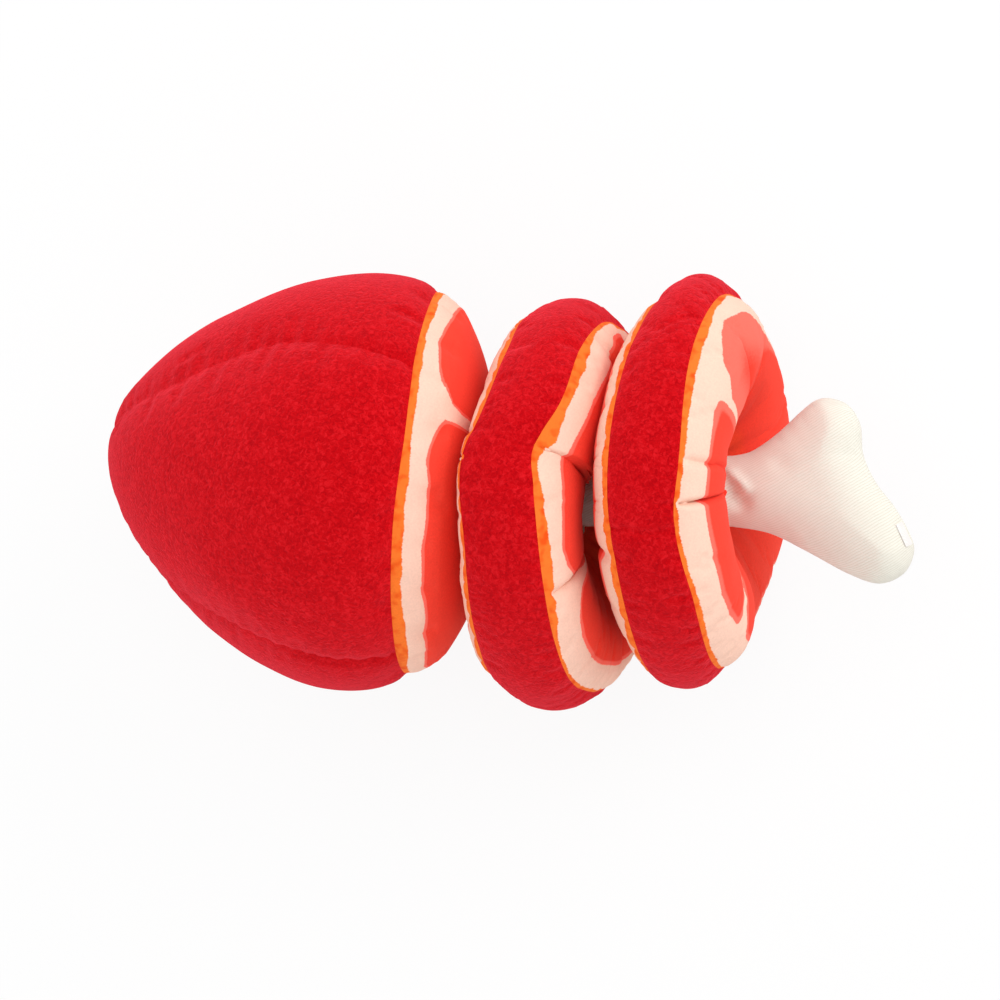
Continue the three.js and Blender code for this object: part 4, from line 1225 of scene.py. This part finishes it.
def makeBoneCovers():
    outline = closedOutline()
    tangent = np.gradient(outline, axis=0)
    inward = np.stack([tangent[:, 1], -tangent[:, 0]], -1)
    inward /= np.linalg.norm(inward, axis=1, keepdims=True)
    probe = outline + inward * 0.5
    if not insideOf(probe[len(probe) // 2:len(probe) // 2 + 1], outline)[0]:
        inward = -inward
    points = [outline]
    for d in bone["rings"]:
        ring = outline + inward * d
        keep = insideOf(ring, outline) & (awayFrom(ring, outline) > d * 0.93)
        points.append(ring[keep])
    step = bone["spacing"] * 1.1
    xs = np.arange(outline[:, 0].min(), outline[:, 0].max(), step)
    ys = np.arange(outline[:, 1].min(), outline[:, 1].max(), step * 0.87)
    gx, gy = np.meshgrid(xs, ys)
    gx = gx + (np.arange(len(ys)) % 2)[:, None] * step / 2
    field = np.stack([gx.ravel(), gy.ravel()], -1)
    field = field[insideOf(field, outline)]
    field = field[awayFrom(field, outline) > bone["rings"][-1] + 0.7]
    points.append(field)
    rootRows = np.arange(-bone["shaftRadius"] + 1.0, bone["shaftRadius"] - 0.5, 1.0)
    points.append(np.stack([rootRows * 0 + bone["rootAt"], rootRows], -1))
    flat = np.concatenate(points)
    count = len(outline)
    edges = [(i, i + 1) for i in range(count - 1)]
    rootStart = len(flat) - len(rootRows)
    order = [count - 1] + list(range(rootStart, len(flat))) + [0]
    edges += list(zip(order[:-1], order[1:]))
    made = delaunay_2d_cdt([Vector(p) for p in flat], edges, [], 1, 1e-4)
    flat = np.array([tuple(v) for v in made[0]])
    triangles = np.array(made[2])
    atEdge = awayFrom(flat, outline) < 0.01
    nearest = np.argmin(((flat[:, None, :] - outline[None]) ** 2).sum(-1), axis=1)
    # the panels were cut flat: the weave goes on round the edge by the cloth's own length
    reach, turn = bone["edgeReach"], np.linspace(0, math.pi / 2, 200)
    pace = np.hypot(reach * np.sin(turn), bone["edgeRise"] * np.cos(turn)) * (turn[1] - turn[0])
    extra = pace.sum() - np.cumsum(pace) - reach * np.cos(turn)
    outward = -inward[nearest] * np.interp(awayFrom(flat, outline), reach * (1 - np.cos(turn)), extra)[:, None]
    steep = math.radians(twill["angle"])
    weave = (flat + outward) @ np.array([-math.sin(steep), math.cos(steep)])
    covers = []
    for side in (1, -1):
        surface = bonePoints(flat, outline, side)
        # the stitches draw the seam in a little
        surface[atEdge, :2] += inward[nearest[atEdge]] * bone["seamDrawnIn"]
        turned = triangles if side > 0 else triangles[:, ::-1]
        corners = surface[turned]
        normals = np.cross(corners[:, 1] - corners[:, 0], corners[:, 2] - corners[:, 0])
        if (normals[:, 2].sum() > 0) != (side > 0):
            turned, normals = turned[:, ::-1], -normals
        vertexNormals = np.zeros_like(surface)
        for k in range(3):
            np.add.at(vertexNormals, turned[:, k], normals)
        vertexNormals /= np.maximum(np.linalg.norm(vertexNormals, axis=1, keepdims=True), 1e-9)
        inner = surface - vertexNormals * bone["thickness"]
        inner[atEdge, 2] = surface[atEdge, 2]
        inner[atEdge, :2] = surface[atEdge, :2] + inward[nearest[atEdge]] * bone["thickness"]
        directed = {}
        for tri in turned.tolist():
            for a, b in zip(tri, tri[1:] + tri[:1]):
                directed[(a, b)] = True
        n = len(surface)
        border = [(a, b) for a, b in directed if (b, a) not in directed]
        faces = turned.tolist() + (turned[:, ::-1] + n).tolist() + [[b, a, a + n, b + n] for a, b in border]
        name = "bone_cover_upper" if side > 0 else "bone_cover_lower"
        covers.append(makeMesh(name, np.concatenate([surface, inner]), faces, 70))
        addValues(covers[-1], {"weave": np.concatenate([weave, weave])})
    return covers, outline, inward


covers, boneOutline, boneInward = makeBoneCovers()
for cover, node in zip(covers, ("bone_cover_top", "bone_cover_under")):
    dress(cover, cottonTwill, [node], "ham")

labelStub = {"at": [132.4, -12.6], "width": 8.0, "from": 0.9, "to": 3.2, "thickness": 0.4, "lift": 0.8}


def makeLabel():
    # a folded satin stub that comes out of the seam and lies back on the knuckle
    nearest = int(np.argmin(((boneOutline - np.array(labelStub["at"])) ** 2).sum(-1)))
    inward = boneInward[nearest]
    along = np.array([-inward[1], inward[0]])
    rows = []
    for share in np.linspace(0, 1, 14):
        row = []
        for across in np.linspace(-0.5, 0.5, 16):
            reach = labelStub["from"] + (labelStub["to"] - labelStub["from"]) * share
            flat = boneOutline[nearest] + inward * reach + along * across * labelStub["width"]
            point = bonePoints(flat[None], boneOutline, 1)[0]
            point[2] += labelStub["lift"] * math.sin(math.pi * min(1, 0.15 + share * 0.6))
            row.append(point)
        rows.append(row)
    return np.array(rows)


stub = clothShell("bone_label_stub", makeLabel(), labelStub["thickness"])
dress(stub, satinRibbon, ["bone_label"], "ham")
print("bone made")


# What the cloth hides: squeaker and filling

squeaker = {
    "bulbRadius": 24.0, "bulbHeight": 28.0, "wall": 1.2, "shoulder": 8.0, "gap": 0.3,
    "bellowsWall": 1.0, "bellowsFold": 3.0, "folds": 3,
    "crownDrop": 4.8, "crownShares": [[0.55, 0.12], [0.85, 0.5], [1, 1]],
    "holderRadius": 5.5, "holderLength": 14.0, "holderWall": 1.4, "holderReach": 3.0,
    "reedLength": 9.0, "reedThickness": 0.5, "reedWidth": 4.0, "segments": 96,
}
crownLow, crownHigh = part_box("squeaker_crown")
squeakerAt = np.array([(crownLow.x + crownHigh.x) / 2, (crownLow.y + crownHigh.y) / 2]) / mm


def roundedOutline(outline, radius, steps=4):
    # the corners of a closed [radius, height] outline rounded off
    outline = np.array(outline, float)
    made = []
    for i in range(len(outline)):
        before, here, after = outline[i - 1], outline[i], outline[(i + 1) % len(outline)]
        into, away = before - here, after - here
        reach = min(radius, np.linalg.norm(into) * 0.45, np.linalg.norm(away) * 0.45)
        if here[0] <= 1e-6:
            made.append(here)
            continue
        start, end = here + into / np.linalg.norm(into) * reach, here + away / np.linalg.norm(away) * reach
        for t in np.linspace(0, 1, steps):
            made.append((1 - t) ** 2 * start + 2 * t * (1 - t) * here + t ** 2 * end)
    return np.array(made)


def latheMesh(name, outline):
    turns = np.linspace(0, 2 * math.pi, squeaker["segments"], endpoint=False)
    count = len(outline)
    points = np.stack([squeakerAt[0] + outline[:, 0][None] * np.cos(turns)[:, None],
                       squeakerAt[1] + outline[:, 0][None] * np.sin(turns)[:, None],
                       outline[:, 1][None] + 0 * turns[:, None]], -1).reshape(-1, 3)
    index = np.arange(len(turns) * count).reshape(len(turns), count)
    after = np.roll(index, -1, axis=0)
    a, b, c, d = index, after, np.roll(after, -1, axis=1), np.roll(index, -1, axis=1)
    faces = np.stack([a, b, c, d], -1).reshape(-1, 4)
    piece = makeMesh(name, points, faces.tolist(), 40)
    work = bmesh.new()
    work.from_mesh(piece.data)
    bmesh.ops.remove_doubles(work, verts=work.verts, dist=0.005 * mm)
    bmesh.ops.dissolve_degenerate(work, edges=work.edges, dist=0.002 * mm)
    bmesh.ops.recalc_face_normals(work, faces=work.faces)
    work.to_mesh(piece.data)
    work.free()
    return piece


def makeSqueaker():
    q = squeaker
    middle = (crownHigh.z / mm) - q["bulbHeight"] / 2
    bottom, top = middle - q["bulbHeight"] / 2, middle + q["bulbHeight"] / 2
    inner = q["bulbRadius"] - q["wall"]
    floorTop = bottom + q["wall"]
    hole = q["holderRadius"] + q["gap"]
    neckBottom = bottom + q["wall"] + q["holderReach"] - q["holderLength"]
    neckRadius = hole + q["wall"]
    shoulderTop = bottom + q["shoulder"] - q["gap"] / 2
    base = [
        [hole, neckBottom + q["wall"]], [neckRadius, neckBottom + q["wall"]], [neckRadius, bottom],
        [inner, bottom], [q["bulbRadius"], floorTop], [q["bulbRadius"], shoulderTop], [inner, shoulderTop],
        [inner, floorTop + q["wall"]], [inner - q["wall"], floorTop], [hole, floorTop],
    ]
    crownBottom = top - q["shoulder"] + q["gap"] / 2
    over = [[q["bulbRadius"] * out, top - q["crownDrop"] * down] for out, down in q["crownShares"]]
    under = [[inner * out, top - q["wall"] - q["crownDrop"] * down] for out, down in q["crownShares"]]
    crown = [[0, top], *over, [q["bulbRadius"], crownBottom],
             [inner, crownBottom], *under[::-1], [0, top - q["wall"]]]
    low, high = bottom + q["shoulder"] + q["gap"] / 2, top - q["shoulder"] - q["gap"] / 2
    outside, inside = [], []
    for fold in range(2 * q["folds"] + 1):
        z = low + (high - low) * fold / (2 * q["folds"])
        r = q["bulbRadius"] - (q["bellowsFold"] if fold % 2 else 0)
        outside.append([r, z])
        inside.insert(0, [r - q["bellowsWall"], z])
    bore = q["holderRadius"] - q["holderWall"]
    holderTop = floorTop + q["holderReach"]
    tube = [[bore, neckBottom], [q["holderRadius"], neckBottom],
            [q["holderRadius"], holderTop], [bore, holderTop]]
    pieces = {
        "squeaker_base": latheMesh("squeaker_bulb_base", roundedOutline(base, 0.5)),
        "squeaker_bellows": latheMesh("squeaker_bulb_bellows", roundedOutline(outside + inside, 0.35, 3)),
        "squeaker_crown": latheMesh("squeaker_bulb_crown", roundedOutline(crown, 1.2)),
        "reed_holder": latheMesh("whistle_tube", roundedOutline(tube, 0.35)),
    }
    barHeight = q["holderLength"] - q["holderReach"]
    barBottom = neckBottom + (q["holderLength"] - barHeight) / 2
    bar = blockMesh("whistle_bar", (q["holderWall"], 2 * bore + q["holderWall"] * 0.8, barHeight),
                    (squeakerAt[0], squeakerAt[1], barBottom + barHeight / 2), 0.2)
    reedX = squeakerAt[0] + q["holderWall"] / 2 + q["gap"] + q["reedThickness"] / 2
    pieces["reed"] = blockMesh("whistle_reed", (q["reedThickness"], q["reedWidth"], q["reedLength"]),
                               (reedX, squeakerAt[1], barBottom + barHeight / 2), 0.12)
    return pieces, bar, low, high


def blockMesh(name, size, centre, rounding):
    work = bmesh.new()
    bmesh.ops.create_cube(work, size=1.0)
    for vertex in work.verts:
        vertex.co = Vector([(c + v * s) * mm for c, v, s in zip(centre, vertex.co, size)])
    bmesh.ops.bevel(work, geom=list(work.edges) + list(work.verts), offset=rounding * mm,
                    segments=3, affect="EDGES", profile=0.5)
    mesh = bpy.data.meshes.new(name)
    work.to_mesh(mesh)
    work.free()
    return addPiece(name, mesh, 40)


squeakerPieces, whistleBar, bellowsLow, bellowsHigh = makeSqueaker()
for node, piece in squeakerPieces.items():
    plastic = reedStyrene if node in ("reed_holder", "reed") else squeakerPolyethylene
    dress(piece, plastic, [node], "squeaker_top" if node == "squeaker_crown" else "ham")
whistleBar.data.materials.append(reedStyrene)
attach(whistleBar, "ham")
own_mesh(squeakerPieces["squeaker_bellows"])
print("squeaker made")

filling = {"underPleats": 3.2, "voxel": 2.2, "depth": 1.6, "clump": 9.0, "smoothing": 6, "underCloth": 2.6}


def ringSolid(skins):
    # the room inside a slice's covers, closed round the bore
    grid = np.concatenate([skins[0], skins[1][1:], skins[2][1:]])
    grid = grid[:, ::4]
    # more room is left near the bore, where the cover is pleated
    axis = grid.mean(axis=1, keepdims=True)
    toBore = np.linalg.norm(grid - axis, axis=2, keepdims=True)
    under = filling["underCloth"] + filling["underPleats"] * (1 - smoothStep(20, 36, toBore))
    inner = grid - gridNormals(grid, True) * under
    rows, columns = grid.shape[:2]
    index = np.arange(rows * columns).reshape(rows, columns)
    below, right = np.roll(index, -1, axis=0), np.roll(index, -1, axis=1)
    corner = np.roll(below, -1, axis=1)
    mesh = bpy.data.meshes.new("room")
    faces = np.stack([index, below, corner, right], -1).reshape(-1, 4)
    mesh.from_pydata((inner.reshape(-1, 3) * mm).tolist(), [], faces.tolist())
    return mesh


def makeFilling(node, name, slack):
    # matted fibre in the room that the covers leave: remeshed, smoothed and dented inwards
    skins = sliceSkins.get(node.replace("_filling", ""))
    source = ringSolid(skins) if skins else frame["nodes"][node].data.copy()
    piece = bpy.data.objects.new(name, source)
    bpy.context.scene.collection.objects.link(piece)
    remesh = piece.modifiers.new("remesh", "REMESH")
    remesh.mode = "VOXEL"
    remesh.voxel_size = filling["voxel"] * mm
    soften = piece.modifiers.new("soften", "SMOOTH")
    soften.iterations = filling["smoothing"]
    bpy.context.view_layer.update()
    evaluated = piece.evaluated_get(bpy.context.evaluated_depsgraph_get())
    mesh = bpy.data.meshes.new_from_object(evaluated)
    piece.modifiers.clear()
    piece.data = mesh
    count = len(mesh.vertices)
    places = np.zeros(count * 3)
    normals = np.zeros(count * 3)
    mesh.vertices.foreach_get("co", places)
    mesh.vertices.foreach_get("normal", normals)
    places, normals = places.reshape(-1, 3) / mm, normals.reshape(-1, 3)
    dents = (0.5 + 0.5 * latticeNoise(places, filling["clump"], 81)
             + 0.3 * latticeNoise(places, filling["clump"] / 3, 82))
    places = places - normals * (slack + filling["depth"] * np.clip(dents, 0, 1.3))[:, None]
    if node.startswith("bone"):
        places[:, 2] -= boneRoll(places[:, 0]) * places[:, 1]
    mesh.vertices.foreach_set("co", (places * mm).ravel())
    mesh.polygons.foreach_set("use_smooth", [True] * len(mesh.polygons))
    mesh.update()
    return piece


# For each node: its piece's name, its body, how full it is padded, and how far its surface is drawn in
fillings = {
    "ham_filling_upper": ("ham_fibre_upper", "ham", 0.9, 0.5),
    "ham_filling_lower": ("ham_fibre_lower", "ham", 0.9, 0.5),
    "bone_shaft_filling": ("bone_fibre_shaft", "ham", 0.8, 0.2),
    "bone_knuckle_filling": ("bone_fibre_knuckle", "ham", 0.7, 1.8),
    "slice_1_filling": ("slice_1_fibre", "slice_1", 0.75, 0.3),
    "slice_2_filling": ("slice_2_fibre", "slice_2", 0.75, 0.3),
}
for node, (name, body, full, slack) in fillings.items():
    fibre = makeFilling(node, name, slack)
    if node == "ham_filling_upper":
        dress(fibre, polyesterFibre, [node])
        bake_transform(fibre)
    else:
        dress(fibre, polyesterFibre, [node], body)
        if body in slices:
            pressFlat(fibre, body)
print("filling made")


# Floor, light and camera

studio = {"floorSize": 6.0, "horizon": 2.0, "zenith": 0.1, "key": 4.5, "overhead": 6.0,
          "floorShadow": 0.16, "floorGlow": 1.06}

floorMesh = bpy.data.meshes.new("studio_floor")
half = studio["floorSize"] / 2
floorCorners = [(-half, -half, 0), (half, -half, 0), (half, half, 0), (-half, half, 0)]
floorMesh.from_pydata(floorCorners, [], [(0, 1, 2, 3)])
floor = bpy.data.objects.new("studio_floor", floorMesh)
bpy.context.scene.collection.objects.link(floor)

# White seamless paper: the camera sees it near white, with a faint shadow under the toy
seamlessPaper, paperShader = newMaterial("seamlessPaper", Base_Color=rgb("#D0D0D0"), Roughness=0.9,
                                         Specular_IOR_Level=0.2)
tree = seamlessPaper.node_tree
lightPath = addNode(seamlessPaper, "LightPath")
seen = lightPath.outputs["Is Camera Ray"]
for ray in ("Is Glossy Ray", "Is Transmission Ray"):
    seen = addNode(seamlessPaper, "Math", {0: seen, 1: lightPath.outputs[ray]}, operation="MAXIMUM").outputs[0]
share = addNode(seamlessPaper, "Math", {0: seen, 1: 1 - studio["floorShadow"]}, operation="MULTIPLY")
paperWhite = addNode(seamlessPaper, "Emission", {"Color": (1, 1, 1, 1), "Strength": studio["floorGlow"]})
mixPaper = addNode(seamlessPaper, "MixShader", {
    0: share.outputs[0], 1: paperShader.outputs[0], 2: paperWhite.outputs[0],
})
tree.links.new(mixPaper.outputs[0], tree.nodes["Material Output"].inputs["Surface"])
floorMesh.materials.append(seamlessPaper)

world = bpy.data.worlds.new("studio")
world.use_nodes = True
bpy.context.scene.world = world
worldTree = world.node_tree
# a light tent, bright along its sides and dim overhead; plain white where the camera looks past the paper
background = worldTree.nodes["Background"]
background.inputs["Color"].default_value = (1, 1, 1, 1)
skyPlace = addNode(world, "TexCoord").outputs["Generated"]
height = addNode(world, "SeparateXYZ", {"Vector": skyPlace}).outputs["Z"]
glow = addNode(world, "MapRange", {
    "Value": height, "From Min": 0.0, "From Max": 1.0, "To Min": studio["horizon"], "To Max": studio["zenith"],
})
worldTree.links.new(glow.outputs["Result"], background.inputs["Strength"])
backdrop = addNode(world, "Background", {"Color": (1, 1, 1, 1), "Strength": 1.0})
fromCamera = addNode(world, "LightPath").outputs["Is Camera Ray"]
worldMix = addNode(world, "MixShader", {0: fromCamera, 1: background.outputs[0], 2: backdrop.outputs[0]})
worldTree.links.new(worldMix.outputs[0], worldTree.nodes["World Output"].inputs["Surface"])


def addLamp(name, place, size, energy, aim=(0, 0, 0.06)):
    lamp = bpy.data.lights.new(name, "AREA")
    lamp.energy = energy
    lamp.shape = "SQUARE"
    lamp.size = size
    holder = bpy.data.objects.new(name, lamp)
    holder.location = place
    holder.rotation_euler = (Vector(aim) - Vector(place)).to_track_quat("-Z", "Y").to_euler()
    bpy.context.scene.collection.objects.link(holder)


addLamp("key_softbox", (0.75, 0.65, 0.75), 0.7, studio["key"])
addLamp("overhead_softbox", (-0.1, 0.2, 1.4), 1.1, studio["overhead"])

view = {"aim": (-0.00422, -0.0029, 0.066), "tilt": 8.5, "distance": 0.7917, "fieldOfView": 24.0}
camera = bpy.data.cameras.new("camera")
camera.sensor_width = 36.0
camera.lens = 18.0 / math.tan(math.radians(view["fieldOfView"] / 2))
holder = bpy.data.objects.new("camera", camera)
bpy.context.scene.collection.objects.link(holder)
tilt = math.radians(view["tilt"])
holder.location = Vector(view["aim"]) + Vector((math.sin(tilt), 0, math.cos(tilt))) * view["distance"]
holder.rotation_euler = (0, tilt, 0)
camera.clip_start, camera.clip_end = 0.05, 20
bpy.context.scene.camera = holder
bpy.context.scene.view_settings.view_transform = "Standard"
print("studio made")
